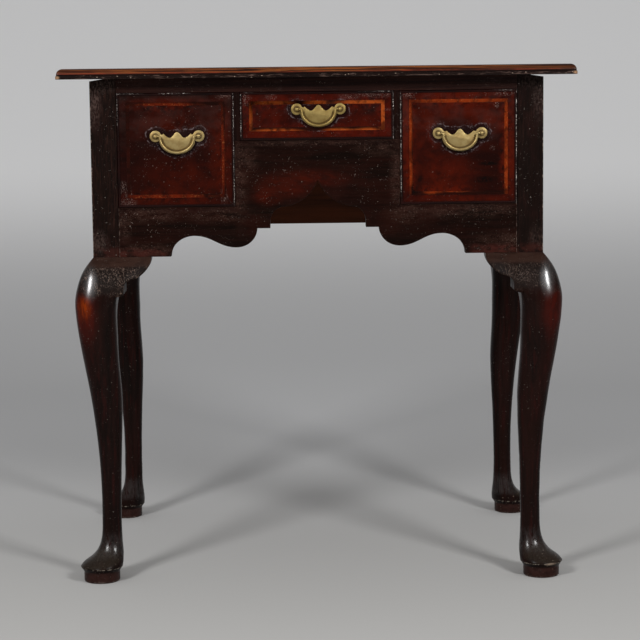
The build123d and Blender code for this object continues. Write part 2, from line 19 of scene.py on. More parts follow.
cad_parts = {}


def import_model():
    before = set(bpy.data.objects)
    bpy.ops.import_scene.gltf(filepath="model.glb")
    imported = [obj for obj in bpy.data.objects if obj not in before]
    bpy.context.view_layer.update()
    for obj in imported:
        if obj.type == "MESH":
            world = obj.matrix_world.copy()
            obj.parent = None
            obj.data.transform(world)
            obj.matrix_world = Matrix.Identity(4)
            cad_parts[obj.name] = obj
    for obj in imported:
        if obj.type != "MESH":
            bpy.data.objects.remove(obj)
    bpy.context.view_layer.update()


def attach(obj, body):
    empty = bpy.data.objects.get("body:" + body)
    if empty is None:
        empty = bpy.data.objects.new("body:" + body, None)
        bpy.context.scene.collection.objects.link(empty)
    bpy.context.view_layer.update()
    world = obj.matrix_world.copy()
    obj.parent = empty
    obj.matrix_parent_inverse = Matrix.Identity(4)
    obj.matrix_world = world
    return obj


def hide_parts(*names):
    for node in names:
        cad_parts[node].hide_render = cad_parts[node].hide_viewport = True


log = logging.getLogger("lowboy")

MM = 0.001
MERGE_M = 1e-6
FLAT_TURN = 0.5
POST_SPACING = 59.0
PLATE_LOBE = 7.9

Tint = tuple[int, int, int]
Size = tuple[float, float, float]
Spot = tuple[float, float, float, float]
Point = tuple[float, float]
Shell = tuple[np.ndarray, list[list[int]]]
Socket = bpy.types.NodeSocket
Value = Union[Socket, float]
Material = bpy.types.Material
Piece = bpy.types.Object


class Axis(Enum):
    """The three directions that grain or a strip may run in."""

    X = 0
    Y = 1
    Z = 2


class Hand(Enum):
    """Left or right of the lowboy, seen from the front."""

    LEFT = -1
    RIGHT = 1

    @property
    def word(self) -> str:
        """The name used in node names."""
        return self.name.lower()


@dataclass(frozen=True)
class Case:
    """The sizes that several pieces share."""

    top_z: float = 696.0
    bottom_z: float = 453.0
    half_width: float = 309.0
    front_y: float = -208.0
    back_y: float = 212.0
    post: float = 36.0

    @property
    def post_inner(self) -> float:
        """X of the inner face of a right-hand post."""
        return self.half_width - self.post

    @property
    def middle_y(self) -> float:
        """Y halfway between the front and the back of the case."""
        return (self.front_y + self.back_y) / 2


CASE = Case()


# ------------------------------------------------------------------------------- shapes as arrays
def cubic_through(knots: np.ndarray, values: np.ndarray, at: np.ndarray) -> np.ndarray:
    """Natural cubic spline: its second derivative is zero at both ends and continuous between.

    Args:
        knots: where the values are known, in rising order.
        values: one row for each knot.
        at: where the spline is wanted.

    Returns:
        One row for each place in at.
    """
    step, count = np.diff(knots)[:, None], len(knots)
    matrix, right = np.eye(count), np.zeros_like(values)
    i = np.arange(1, count - 1)
    matrix[i, i - 1] = step[:-1, 0]
    matrix[i, i] = 2 * (step[:-1, 0] + step[1:, 0])
    matrix[i, i + 1] = step[1:, 0]
    right[i] = 6 * np.diff(np.diff(values, axis=0) / step, axis=0)
    bend = np.linalg.solve(matrix, right)
    k = np.clip(np.searchsorted(knots, at) - 1, 0, count - 2)
    h, before, after = step[k], (at - knots[k])[:, None], (knots[k + 1] - at)[:, None]
    cubic = (bend[k] * after**3 + bend[k + 1] * before**3) / (6 * h)
    line = (values[k] / h - bend[k] * h / 6) * after + (values[k + 1] / h - bend[k + 1] * h / 6) * before
    return cubic + line


def hermite(start: Point, end: Point, leave: Point, arrive: Point, count: int) -> np.ndarray:
    """Cubic curve between two points with given end directions, each as long as the chord.

    Args:
        start: the point that it leaves.
        end: the point that it reaches.
        leave: its direction at the start.
        arrive: its direction at the end.
        count: how many points are wanted.

    Returns:
        The points after the start, up to and including the end.
    """
    p, q = np.array(start, float), np.array(end, float)
    chord = np.linalg.norm(q - p)
    a, b = (chord * np.array(v, float) / np.linalg.norm(v) for v in (leave, arrive))
    t = np.linspace(0, 1, count + 1)[1:, None]
    return (
        (2 * t**3 - 3 * t**2 + 1) * p
        + (t**3 - 2 * t**2 + t) * a
        + (3 * t**2 - 2 * t**3) * q
        + (t**3 - t**2) * b
    )


def ripple(points: np.ndarray, length: float, seed: int) -> np.ndarray:
    """Smooth unevenness: the mean of six sine waves.

    Args:
        points: an array whose last axis is x, y, z.
        length: the typical wave length in mm.
        seed: picks the waves' directions and phases.

    Returns:
        A height from -1 to 1 for each point.
    """
    random = np.random.default_rng(seed)
    waves = random.normal(size=(6, 3)) * 2 * np.pi / length
    phases = random.uniform(0, 2 * np.pi, 6)
    return np.sin(points @ waves.T + phases).mean(axis=-1)


def grid_quads(rows: int, columns: int, around: bool) -> np.ndarray:
    """Faces of a grid of points stored row by row.

    Args:
        rows: how many rows the grid has.
        columns: how many points a row has.
        around: closes each row on itself.

    Returns:
        Four point numbers for each face.
    """
    span = columns if around else columns - 1
    r, c = np.meshgrid(np.arange(rows - 1), np.arange(span), indexing="ij")
    n = (c + 1) % columns
    quads = np.stack([r * columns + c, r * columns + n, (r + 1) * columns + n, (r + 1) * columns + c], -1)
    return quads.reshape(-1, 4)


def closed_shell(rings: np.ndarray, first: int = 0) -> Shell:
    """A skin over rings of points, with its first and last ring each closed by one face.

    Args:
        rings: an array of rings, points and x, y, z.
        first: the number of its first point.

    Returns:
        The points and the faces.
    """
    rows, columns = rings.shape[:2]
    ring = first + np.arange(columns)
    faces = (first + grid_quads(rows, columns, True)).tolist()
    faces += [ring[::-1].tolist(), (ring + (rows - 1) * columns).tolist()]
    return rings.reshape(-1, 3), faces


def corner_arc(a: np.ndarray, b: np.ndarray, radius: np.ndarray, quarter: int, steps: int) -> np.ndarray:
    """Quarter circles, one for each ring: the middle plus the radius times (cosine, sine).

    Args:
        a: the middle's first coordinate, one row for each ring.
        b: the middle's second coordinate.
        radius: the circle's radius.
        quarter: how many right angles the arc starts at.
        steps: how many steps it has.

    Returns:
        An array of rings, points and (a, b).
    """
    angle = (quarter + np.linspace(0, 1, steps + 1)) * np.pi / 2
    return np.stack([a + radius * np.cos(angle), b + radius * np.sin(angle)], -1)


def joined_arcs(arcs: list[np.ndarray], steps: tuple[int, ...], height: np.ndarray) -> np.ndarray:
    """Closed rings: each arc, then a straight row of points to the next arc.

    Args:
        arcs: the rings' corners, in order.
        steps: how many steps lie between each arc and the next.
        height: the height of each ring.

    Returns:
        An array of rings, points and (a, b, height).
    """
    parts = []
    for arc, following, count in zip(arcs, arcs[1:] + arcs[:1], steps):
        t = np.linspace(0, 1, count + 1)[1:-1][None, :, None]
        start, end = arc[:, -1:], following[:, :1]
        parts += [arc, start + (end - start) * t]
    plan = np.concatenate(parts, axis=1)
    return np.concatenate([plan, np.broadcast_to(height[:, None, None], plan.shape[:2] + (1,))], axis=-1)


def carried_round(half: Point, corner: float, profile: np.ndarray, spacing: float) -> np.ndarray:
    """A profile carried round a rectangle with rounded corners.

    At an inset the path is the rectangle moved in by it. Its corner radius is less by the inset, and
    never under a small radius, so that no two points meet.

    Args:
        half: half the rectangle's two lengths.
        corner: its corners' radius.
        profile: rows of inset and height.
        spacing: about how far apart the points on its sides are.

    Returns:
        An array of rings, points and (a, b, height).
    """
    inset = profile[:, :1]
    radius = np.maximum(corner - inset, 0.3 * corner)
    a, b = half[0] - inset - radius, half[1] - inset - radius
    signs = ((1, 1), (-1, 1), (-1, -1), (1, -1))
    arcs = [corner_arc(sa * a, sb * b, radius, quarter, 5) for quarter, (sa, sb) in enumerate(signs)]
    steps = tuple(max(2, round(2 * length / spacing)) for length in half)
    return joined_arcs(arcs, steps * 2, profile[:, 1])


def swept_tube(path: np.ndarray, radii: np.ndarray, up: np.ndarray, sides: int) -> np.ndarray:
    """Circles square to a path that lies in one plane.

    Args:
        path: the tube's middle line.
        radii: the tube's radius at each of its points.
        up: the direction square to the path's plane.
        sides: how many points a circle has.

    Returns:
        An array of circles, points and x, y, z.
    """
    tangent = np.gradient(path, axis=0)
    tangent /= np.linalg.norm(tangent, axis=1, keepdims=True)
    across = np.cross(tangent, up)
    angle = np.linspace(0, 2 * np.pi, sides, endpoint=False)
    circle = np.cos(angle)[None, :, None] * across[:, None] + np.sin(angle)[None, :, None] * up
    return path[:, None] + radii[:, None, None] * circle


# ------------------------------------------------------------------------------- making pieces
def cleaned(mesh: bpy.types.Mesh, whole_faces: bool) -> None:
    """Merges a mesh's doubled points and turns its faces outwards.

    Args:
        mesh: the mesh to clean.
        whole_faces: joins the flat neighbours among its faces first.
    """
    work = bmesh.new()
    work.from_mesh(mesh)
    bmesh.ops.remove_doubles(work, verts=work.verts, dist=MERGE_M)
    if whole_faces:
        flat = np.radians(FLAT_TURN)
        bmesh.ops.dissolve_limit(work, angle_limit=flat, verts=work.verts, edges=work.edges)
    bmesh.ops.recalc_face_normals(work, faces=work.faces)
    work.to_mesh(mesh)
    work.free()


def dressed(name: str, mesh: bpy.types.Mesh, material: Material, crease: float) -> Piece:
    """Shades a mesh smooth between its creases and puts it into the scene.

    Args:
        name: the piece's name.
        mesh: its mesh.
        material: its finish.
        crease: edges that turn by more than this many degrees stay sharp.

    Returns:
        The piece.
    """
    mesh.materials.clear()
    mesh.materials.append(material)
    mesh.polygons.foreach_set("use_smooth", np.ones(len(mesh.polygons), bool))
    mesh.set_sharp_from_angle(angle=np.radians(crease))
    mesh.update()
    piece = bpy.data.objects.new(name, mesh)
    bpy.context.scene.collection.objects.link(piece)
    return piece


def new_piece(name: str, shell: Shell, material: Material, crease: float = 35.0) -> Piece:
    """Makes a smooth mesh piece at the origin, with its place in its mesh.

    Args:
        name: the piece's name.
        shell: its points in mm, and its faces as lists of point numbers.
        material: its finish.
        crease: edges that turn by more than this many degrees stay sharp.

    Returns:
        The piece.
    """
    points, faces = shell
    mesh = bpy.data.meshes.new(name)
    mesh.from_pydata((np.asarray(points, float).reshape(-1, 3) * MM).tolist(), [], faces)
    cleaned(mesh, False)
    return dressed(name, mesh, material, crease)


def eased_copy(node: str, material: Material, ease: float, crease: float = 30.0) -> Piece:
    """A copy of a frame node with its flat faces made whole and its edges rounded over.

    Args:
        node: the frame node.
        material: its finish.
        ease: how far its edges are rounded, in mm.
        crease: only edges sharper than this many degrees are rounded.

    Returns:
        The piece.
    """
    name = f"{node}_planed"
    mesh = bpy.data.objects[node].data.copy()
    mesh.name = name
    cleaned(mesh, True)
    for layer in list(mesh.attributes):
        if layer.name == "custom_normal":
            mesh.attributes.remove(layer)
    piece = dressed(name, mesh, material, crease)
    bevel = piece.modifiers.new("eased edges", "BEVEL")
    bevel.width = ease * MM
    bevel.segments = 2
    bevel.limit_method = "ANGLE"
    bevel.angle_limit = np.radians(crease)
    bevel.use_clamp_overlap = True
    bevel.harden_normals = True
    return piece


def place(piece: Piece, body: str, slot: str, *nodes: str) -> None:
    """Puts a piece on its body and hides the nodes that it stands for.

    Args:
        piece: the piece.
        body: the body that it rides on.
        slot: the name of a finish in the library; not used.
        nodes: the frame nodes that it stands for, if it does for any.
    """
    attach(piece, body)
    if nodes:
        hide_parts(*nodes)
    log.info("%s rides on %s", piece.name, body)


# ------------------------------------------------------------------------------- shader graph
def linear(tint: Tint) -> tuple[float, ...]:
    """A colour given as 0 to 255 on the screen, as the linear colour that a shader takes.

    Args:
        tint: red, green and blue, from 0 to 255.

    Returns:
        Red, green, blue and 1.
    """
    c = np.array(tint, float) / 255
    low, high = c / 12.92, ((c + 0.055) / 1.055) ** 2.4
    return (*np.where(c <= 0.04045, low, high).tolist(), 1.0)


class Graph:
    """One node tree, with short calls for the patterns used here.

    Places are read in mm from Object coordinates, so a pattern stays on its piece. tone is the colour
    so far, and paint lays tints over it.
    """

    def __init__(self, tree: bpy.types.NodeTree, source: str = "Object", scale: float = 1 / MM) -> None:
        """Empties a node tree and reads the place in it.

        Args:
            tree: the node tree of a material or of the world.
            source: the coordinates that give the place.
            scale: what they are multiplied by.
        """
        self.tree = tree
        self.tree.nodes.clear()
        self.tone: Socket | None = None
        self.at = self.vector("SCALE", self.node("TexCoord").outputs[source], scale=scale)
        self.x, self.y, self.z = self.node("SeparateXYZ", self.at).outputs
        self.side = self.math("ABSOLUTE", self.x)

    def put(self, socket: Socket, value: object) -> None:
        """Links a socket to another, or sets its own value; None leaves it as it is.

        Args:
            socket: the socket.
            value: another socket, a value, or None to leave it as it is.
        """
        if isinstance(value, bpy.types.NodeSocket):
            self.tree.links.new(value, socket)
        elif value is not None:
            socket.default_value = value

    def node(self, kind: str, *values: object, **settings: object) -> bpy.types.Node:
        """Adds one node.

        Args:
            kind: its type, without the words ShaderNode in front.
            values: what its first inputs take, in order.
            settings: its own settings, by name.

        Returns:
            The node.
        """
        node = self.tree.nodes.new(f"ShaderNode{kind}")
        for name, value in settings.items():
            setattr(node, name, value)
        for socket, value in zip(node.inputs, values):
            self.put(socket, value)
        return node

    def math(self, operation: str, *values: Value, clamp: bool = False) -> Socket:
        """One sum of up to three values, held from 0 to 1 by clamp."""
        return self.node("Math", *values, operation=operation, use_clamp=clamp).outputs[0]

    def vector(self, operation: str, a: Socket, b: object = None, scale: object = None) -> Socket:
        """One sum of two vectors, or of a vector and a scale."""
        node = self.node("VectorMath", a, b, None, scale, operation=operation)
        return node.outputs[1] if operation == "DOT_PRODUCT" else node.outputs[0]

    def times(self, *values: Value) -> Value:
        """The product of several values.

        Args:
            values: the values.

        Returns:
            The product.
        """
        out = values[0]
        for value in values[1:]:
            out = self.math("MULTIPLY", out, value)
        return out

    def most(self, *values: Value) -> Value:
        """The largest of several values.

        Args:
            values: the values.

        Returns:
            The largest.
        """
        out = values[0]
        for value in values[1:]:
            out = self.math("MAXIMUM", out, value)
        return out

    def length(self, a: Value, b: Value) -> Socket:
        """The root of the sum of two squares."""
        return self.math("SQRT", self.math("ADD", self.times(a, a), self.times(b, b)))

    def level(self, factor: Value, low: float, high: float) -> Socket:
        """A value that goes from low to high as the factor goes from 0 to 1."""
        return self.math("MULTIPLY_ADD", factor, high - low, low)

    def rise(self, value: Value, low: float, high: float) -> Socket:
        """A smooth step: 0 at low, 1 at high, and the cubic 3tt - 2ttt between.

        Args:
            value: what is compared.
            low: where the step is 0.
            high: where it is 1, which may be under low.

        Returns:
            A value from 0 to 1.
        """
        flip = low > high
        ends = (min(low, high), max(low, high), float(flip), float(not flip))
        return self.node("MapRange", value, *ends, interpolation_type="SMOOTHSTEP", clamp=True).outputs[0]

    def between(self, value: Value, start: float, full: float, fade: float, end: float) -> Value:
        """1 from full to fade, 0 before start and past end, and smooth steps between."""
        return self.times(self.rise(value, start, full), self.rise(value, end, fade))

    def cells(self, size: Size | float, seed: float) -> Socket:
        """The place as a share of a size in mm, moved by a seed.

        Args:
            size: one size, or one each along X, Y and Z.
            seed: how far it is moved.

        Returns:
            The place.
        """
        sizes = size if isinstance(size, tuple) else (size,) * 3
        scaled = self.vector("MULTIPLY", self.at, tuple(1 / s for s in sizes))
        return self.vector("ADD", scaled, (seed * 7.31, seed * 3.17, seed * 5.73))

    def noise(
        self, size: Size | float, detail: float = 2.0, rough: float = 0.5, warp: float = 0.0,
        seed: float = 0.0,
    ) -> Socket:
        """Cloudy pattern about 0.5.

        Args:
            size: about how large its blots are in mm, all ways or along X, Y and Z.
            detail: how many finer layers lie over it.
            rough: how strong each finer layer is.
            warp: how far its blots are bent.
            seed: moves it.

        Returns:
            The pattern.
        """
        node = self.node("TexNoise", self.cells(size, seed))
        for name, value in (("Scale", 1.0), ("Detail", detail), ("Roughness", rough), ("Distortion", warp)):
            node.inputs[name].default_value = value
        return node.outputs[0]

    def cloud(
        self, size: Size | float, low: float, high: float, rough: float = 0.6, warp: float = 0.0,
        seed: float = 0.0,
    ) -> Socket:
        """Patches about size mm large: 0 where the noise is under low, 1 over high."""
        return self.rise(self.noise(size, 3, rough, warp, seed), low, high)

    def flecks(self, size: Size | float, radius: float, share: float, seed: float = 0.0) -> Value:
        """Small separate spots: in each cell of that size in mm, a spot by chance.

        Args:
            size: the cells' size, all ways or along X, Y and Z.
            radius: the spot's radius as a share of the cell.
            share: the share of cells that have one.
            seed: moves the cells.

        Returns:
            1 in a spot, 0 outside.
        """
        node = self.node("TexVoronoi", self.cells(size, seed))
        node.inputs["Scale"].default_value = 1.0
        near = self.rise(node.outputs["Distance"], radius, 0.4 * radius)
        chance = self.node("SeparateColor", node.outputs["Color"]).outputs[0]
        return self.times(near, self.math("GREATER_THAN", chance, 1 - share))

    def specks(self, seed: float, share: float = 0.07) -> Value:
        """Tiny chips and splashes, thick in some places and rare in others.

        Args:
            seed: moves the pattern.
            share: how common they are.

        Returns:
            1 on a chip, 0 elsewhere.
        """
        gathered = self.level(self.cloud(22, 0.42, 0.62, seed=seed + 0.3), 0.1, 1.0)
        ragged = self.cloud(2.3, 0.66, 0.71, rough=0.8, seed=seed + 0.6)
        dots = self.flecks(3.7, 0.16, 0.6 * share, seed)
        return self.most(self.times(ragged, gathered), dots)

    def spot(self, across: Value, up: Value, spot: Spot, edge: float = 0.5) -> Socket:
        """A soft ellipse.

        Args:
            across: the place's first coordinate.
            up: its second coordinate.
            spot: the ellipse's middle and its half sizes, in mm.
            edge: the share of its size over which it fades.

        Returns:
            1 inside, 0 outside.
        """
        a = self.math("DIVIDE", self.math("SUBTRACT", across, spot[0]), spot[2])
        b = self.math("DIVIDE", self.math("SUBTRACT", up, spot[1]), spot[3])
        return self.rise(self.length(a, b), 1 + edge, 1 - edge)

    def spots(self, spots: tuple[Spot, ...], edge: float = 0.5) -> Value:
        """1 inside any of several soft ellipses on the front."""
        return self.most(*[self.spot(self.x, self.z, spot, edge) for spot in spots])

    def line(self, value: Value, at: float, half: float) -> Socket:
        """A thin line where a value is near at, faded over half."""
        off = self.math("ABSOLUTE", self.math("SUBTRACT", value, at))
        return self.rise(off, half, 0.4 * half)

    def facing_up(self) -> Socket:
        """How far the surface faces up, from -1 to 1."""
        return self.node("SeparateXYZ", self.node("NewGeometry").outputs["Normal"]).outputs[2]

    def edge_wear(self, radius: float) -> Socket:
        """Near 1 along outer edges: how far the normal of a rounded shape turns from the face's.

        Args:
            radius: how far the wear reaches, in mm.

        Returns:
            A value from 0 to 1.
        """
        rounded = self.node("Bevel", radius * MM, samples=6).outputs[0]
        same = self.vector("DOT_PRODUCT", rounded, self.node("NewGeometry").outputs["Normal"])
        return self.rise(same, 0.995, 0.85)

    def seen(self) -> Value:
        """1 for what the camera, a reflection or a glass shows, 0 for what lights the lowboy.

        Returns:
            The value.
        """
        path = self.node("LightPath")
        rays = ("Is Camera Ray", "Is Glossy Ray", "Is Transmission Ray")
        return self.most(*[path.outputs[ray] for ray in rays])

    def blend(self, factor: Value, a: Socket | Tint, b: Socket | Tint) -> Socket:
        """Two colours mixed by a factor.

        Args:
            factor: the share of the second colour.
            a: the first colour.
            b: the second colour.

        Returns:
            The mixed colour.
        """
        node = self.node("Mix", factor, data_type="RGBA")
        for socket, colour in zip(node.inputs[6:8], (a, b)):
            self.put(socket, linear(colour) if isinstance(colour, tuple) else colour)
        return node.outputs[2]

    def paint(self, tint: Tint, *masks: Value) -> None:
        """Lays a tint over the colour so far, as strongly as the product of the masks."""
        self.tone = self.blend(self.times(*masks), self.tone, tint)

    def finish(
        self, roughness: Value, height: Value, depth: float, coat: Value = 0.0, **constants: float
    ) -> bpy.types.Node:
        """Closes a material's graph with a glossy shader of the colour so far.

        Args:
            roughness: its roughness pattern.
            height: a pattern from 0 to 1 for the relief.
            depth: how deep the relief is, in mm.
            coat: how much polish lies over the colour.
            constants: values set on the shader's own sockets, by name with _ for a space.

        Returns:
            The shader.
        """
        shader = self.node("BsdfPrincipled")
        bump = self.node("Bump")
        for name, value in (("Strength", 1.0), ("Distance", depth * MM), ("Height", height)):
            self.put(bump.inputs[name], value)
        linked = (("Base Color", self.tone), ("Roughness", roughness), ("Coat Weight", coat))
        for name, value in (*linked, ("Normal", bump.outputs[0])):
            self.put(shader.inputs[name], value)
        for name, value in constants.items():
            shader.inputs[name.replace("_", " ")].default_value = value
        self.node("OutputMaterial", shader.outputs[0])
        return shader


def empty_material(name: str) -> tuple[Material, Graph]:
    """A new material and the graph that its finish is drawn in.

    Args:
        name: the material's name.

    Returns:
        The material and its graph.
    """
    material = bpy.data.materials.new(name)
    material.use_nodes = True
    return material, Graph(material.node_tree)


# ------------------------------------------------------------------------------- finishes
@dataclass(frozen=True)
class Wood:
    """Old polished wood: three colours, the way its grain runs, and how worn it is."""

    name: str
    deep: Tint
    body: Tint
    warm: Tint
    along: Axis
    long_grain: float = 120.0
    fine_grain: float = 2.4
    warmth: float = 0.5
    dust: Tint = (70, 56, 50)
    dusting: float = 0.3
    flecking: float = 0.03
    roughness: float = 0.3
    sheen: float = 0.1
    coat: float = 0.0
    coat_roughness: float = 0.14
    coat_bend: float = 1.5
    pores: float = 0.4
    relief: float = 0.05
    seed: float = 0.0
    knots: tuple[Spot, ...] = ()

    def grain(self, along: float, across: float) -> Size:
        """The size of a pattern along and across the grain, as sizes along X, Y and Z.

        Args:
            along: the size along the grain, in mm.
            across: the size across it.

        Returns:
            The sizes along X, Y and Z.
        """
        size = [across] * 3
        size[self.along.value] = along
        return tuple(size)

    def draw_grain(self, g: Graph) -> None:
        """Streaks of deep and body colour, with clouds of the warm one.

        Args:
            g: the material's graph.
        """
        streaks = g.noise(self.grain(self.long_grain, self.fine_grain), 4, 0.62, 0.5, self.seed)
        broad = g.noise(self.grain(self.long_grain * 2, self.fine_grain * 7), 2, 0.5, 0.8, self.seed + 1)
        g.tone = g.blend(g.rise(streaks, 0.34, 0.68), self.deep, self.body)
        g.paint(self.warm, g.rise(broad, 0.42, 0.7), self.warmth)

    def weathering(self, g: Graph) -> tuple[Value, Value]:
        """Dust and scuffs over the wood.

        Args:
            g: the material's graph.

        Returns:
            How dull the wood is and how scratched it is, both from 0 to 1.
        """
        patch = g.cloud(38, 0.5, 0.7, seed=self.seed + 2)
        scuff = g.cloud(self.grain(9, 1.6), 0.5, 0.66, rough=0.7, seed=self.seed + 3)
        dull = g.times(patch, scuff, self.dusting)
        flecks = g.times(g.specks(self.seed, self.flecking), min(1.0, self.flecking * 20))
        g.paint(self.dust, dull)
        g.paint((176, 160, 148), flecks, 0.7)
        return g.most(dull, flecks), flecks

    def polish(self, g: Graph) -> Value:
        """How much polish lies on the wood."""
        return self.coat

    def build(self) -> Material:
        """Draws the grain, its pores, the knots and the wear, and the relief that they leave.

        Returns:
            The finished material.
        """
        material, g = empty_material(self.name)
        self.draw_grain(g)
        pores = g.cloud(self.grain(14, 0.55), 0.6, 0.7, seed=self.seed + 4)
        g.paint((6, 3, 2), pores, self.pores)
        ragged = g.cloud(4, 0.3, 0.55, rough=0.7, seed=self.seed + 5)
        for knot in self.knots:
            g.paint((7, 5, 4), g.spot(g.x, g.z, knot, 0.6), ragged, 0.93)
        dull, scratch = self.weathering(g)
        smear = g.noise(22, 3, 0.6, 0, self.seed + 6)
        rough = g.level(smear, self.roughness - 0.07, self.roughness + 0.07)
        rough = g.math("ADD", rough, g.times(dull, 0.35), clamp=True)
        dents = g.noise(16, 2, 0.5, 0, self.seed + 7)
        height = g.math("SUBTRACT", g.times(dents, 1.6), g.times(pores, 0.35))
        height = g.math("ADD", height, g.times(scratch, 0.9))
        g.finish(
            rough, height, self.relief, self.polish(g), Specular_IOR_Level=self.sheen,
            Coat_Roughness=self.coat_roughness, Coat_IOR=self.coat_bend,
        )
        return material


@dataclass(frozen=True)
class LegWood(Wood):
    """Leg wood: polished shanks, a scratched cap on the knee, and red wear on its outer side.

    The front left knee is worn to orange, the front right one to dark red.
    """

    orange: Tint = (134, 50, 8)
    red: Tint = (78, 17, 6)
    cap: Tint = (24, 17, 14)
    scratch: Tint = (160, 134, 120)
    # colour of the painted sheen on the knee's top, just under the case
    strip: Tint = (54, 36, 29)

    def polish(self, g: Graph) -> Value:
        """Thick on the knee's outer swelling and on the ankle, thin elsewhere.

        Args:
            g: the material's graph.

        Returns:
            How thick the polish is, from 0 to 1.
        """
        knee = g.spot(g.side, g.z, (313, 419, 8.5, 21), 0.6)
        ankle = g.times(g.between(g.z, 28, 38, 52, 72), g.cloud(self.grain(26, 1.8), 0.34, 0.56, seed=50))
        worn = g.level(g.cloud((5, 5, 8), 0.3, 0.5, rough=0.7, seed=48), 0.7, 1.0)
        return g.level(g.times(g.most(knee, g.times(ankle, 0.38)), worn), self.coat, 1.0)

    def knee_glow(self, g: Graph) -> None:
        """Red wear on the outer side of both front knees, fading down the shanks.

        Args:
            g: the material's graph.
        """
        front = g.rise(g.y, -120, -150)
        left = g.rise(g.x, 20, -20)
        spread = g.cloud((8, 8, 24), 0.3, 0.62, warp=0.4, seed=11)
        outer = g.times(g.rise(g.side, 296, 322), g.between(g.z, 200, 370, 396, 408), front)
        g.paint((44, 13, 9), outer, 0.55, g.level(spread, 0.5, 1.0))
        wide = g.times(g.spot(g.side, g.z, (323, 376, 15, 30), 0.8), front, g.level(spread, 0.5, 1.0))
        g.paint(self.red, wide, g.level(left, 0.5, 0.75))
        mottled = g.level(g.cloud((3, 3, 9), 0.32, 0.6, rough=0.7, seed=28), 0.4, 1.0)
        core = g.times(g.spot(g.side, g.z, (321, 386, 7, 13), 0.9), front, left, g.level(spread, 0.25, 1.0))
        g.paint(self.orange, core, mottled, 0.95)

    def knee_cap(self, g: Graph) -> tuple[Value, Value]:
        """A dull cap with fine scratches, which fan out beside the ears, under a strip of painted sheen on
        the knee's upward-sloping top.

        Args:
            g: the material's graph.

        Returns:
            The cap's mask and the scratches' mask.
        """
        edge = g.noise(12, 2, 0.5, 0, 12)
        level = g.math("ADD", g.z, g.level(edge, -14, 14))
        cap = g.times(g.rise(level, 398, 414), g.rise(g.z, 447, 437))
        g.paint(self.cap, cap, 0.7)
        broken = g.cloud(1.2, 0.46, 0.56, rough=0.8, seed=59)
        fine = g.times(g.cloud((1.6, 1.6, 3.0), 0.52, 0.6, rough=0.7, seed=13), broken)
        fine = g.most(fine, g.times(g.flecks((2.2, 2.2, 2.6), 0.26, 0.4, 49), 0.9))
        left = g.level(g.rise(g.x, 20, -20), 0.55, 1.0)
        patch = g.times(g.cloud((15, 15, 12), 0.38, 0.64, seed=14), left)
        across, up = g.math("SUBTRACT", g.side, 262), g.math("SUBTRACT", g.z, 408)
        angle = g.math("ARCTAN2", up, across)
        spokes = g.rise(g.math("SINE", g.math("MULTIPLY_ADD", angle, 30, g.times(edge, 9))), 0.72, 0.97)
        spokes = g.times(spokes, left, broken, g.cloud(5, 0.36, 0.52, seed=24))
        reach = g.length(across, up)
        fan = g.times(spokes, g.rise(reach, 8, 14), g.rise(reach, 34, 24), g.rise(angle, 0.2, 0.5), cap)
        marks = g.most(g.times(fine, patch, cap), g.times(fan, 0.8))
        g.paint(self.scratch, marks, 0.6)
        # Painted sheen: a lighter mottled strip on the knee's upward-sloping top, just under the case,
        # stronger on the left legs.
        strip = g.between(g.z, 437, 443, 452.6, 453.4)
        mottled = g.level(g.cloud((20, 20, 6), 0.35, 0.6, seed=25), 0.55, 0.9)
        g.paint(self.strip, strip, mottled, g.level(left, 0.6, 1.0))
        return g.times(cap, g.rise(g.side, 312, 298), 0.5), marks

    def post(self, g: Graph) -> Value:
        """Fine dusty streaks, pale patches near the top and a reddish foot on the square post.

        Args:
            g: the material's graph.

        Returns:
            How dull the post is.
        """
        post = g.rise(g.z, 452.6, 453.4)
        g.paint((12, 5, 3), post, 0.8)
        ruddy = g.times(g.cloud((24, 24, 60), 0.48, 0.66, seed=26), post)
        g.paint((32, 13, 11), ruddy, 0.45)
        streak = g.times(g.cloud(self.grain(30, 0.9), 0.48, 0.58, rough=0.75, seed=19), post)
        fresh = g.level(g.rise(g.x, -20, 20), 1.0, 0.55)
        streak = g.times(streak, g.level(g.cloud((16, 16, 44), 0.4, 0.62, seed=29), 0.3, 1.0), fresh)
        g.paint((62, 38, 31), streak, 0.42)
        grit = g.cloud((2.2, 2.2, 5), 0.4, 0.62, rough=0.7, seed=20)
        dusty = g.most(
            g.spot(g.side, g.z, (302, 668, 7, 30), 0.7), g.spot(g.side, g.z, (291, 688, 20, 9), 0.6),
            g.times(g.spot(g.side, g.z, (300, 474, 10, 14), 0.6), 0.7),
        )
        g.paint((92, 74, 68), dusty, grit, post, fresh, 0.55)
        band = g.times(g.rise(g.z, 470, 461), post, g.cloud((14, 14, 9), 0.36, 0.6, seed=21))
        g.paint((62, 29, 23), band, 0.5)
        outer, forward = g.rise(g.side, 307.2, 308.4), g.rise(g.y, CASE.front_y + 1.4, CASE.front_y + 0.6)
        arris = g.times(outer, forward, post, g.cloud(3, 0.54, 0.6, rough=0.7, seed=22))
        g.paint((168, 146, 134), arris, 0.7)
        return g.times(post, 0.4)

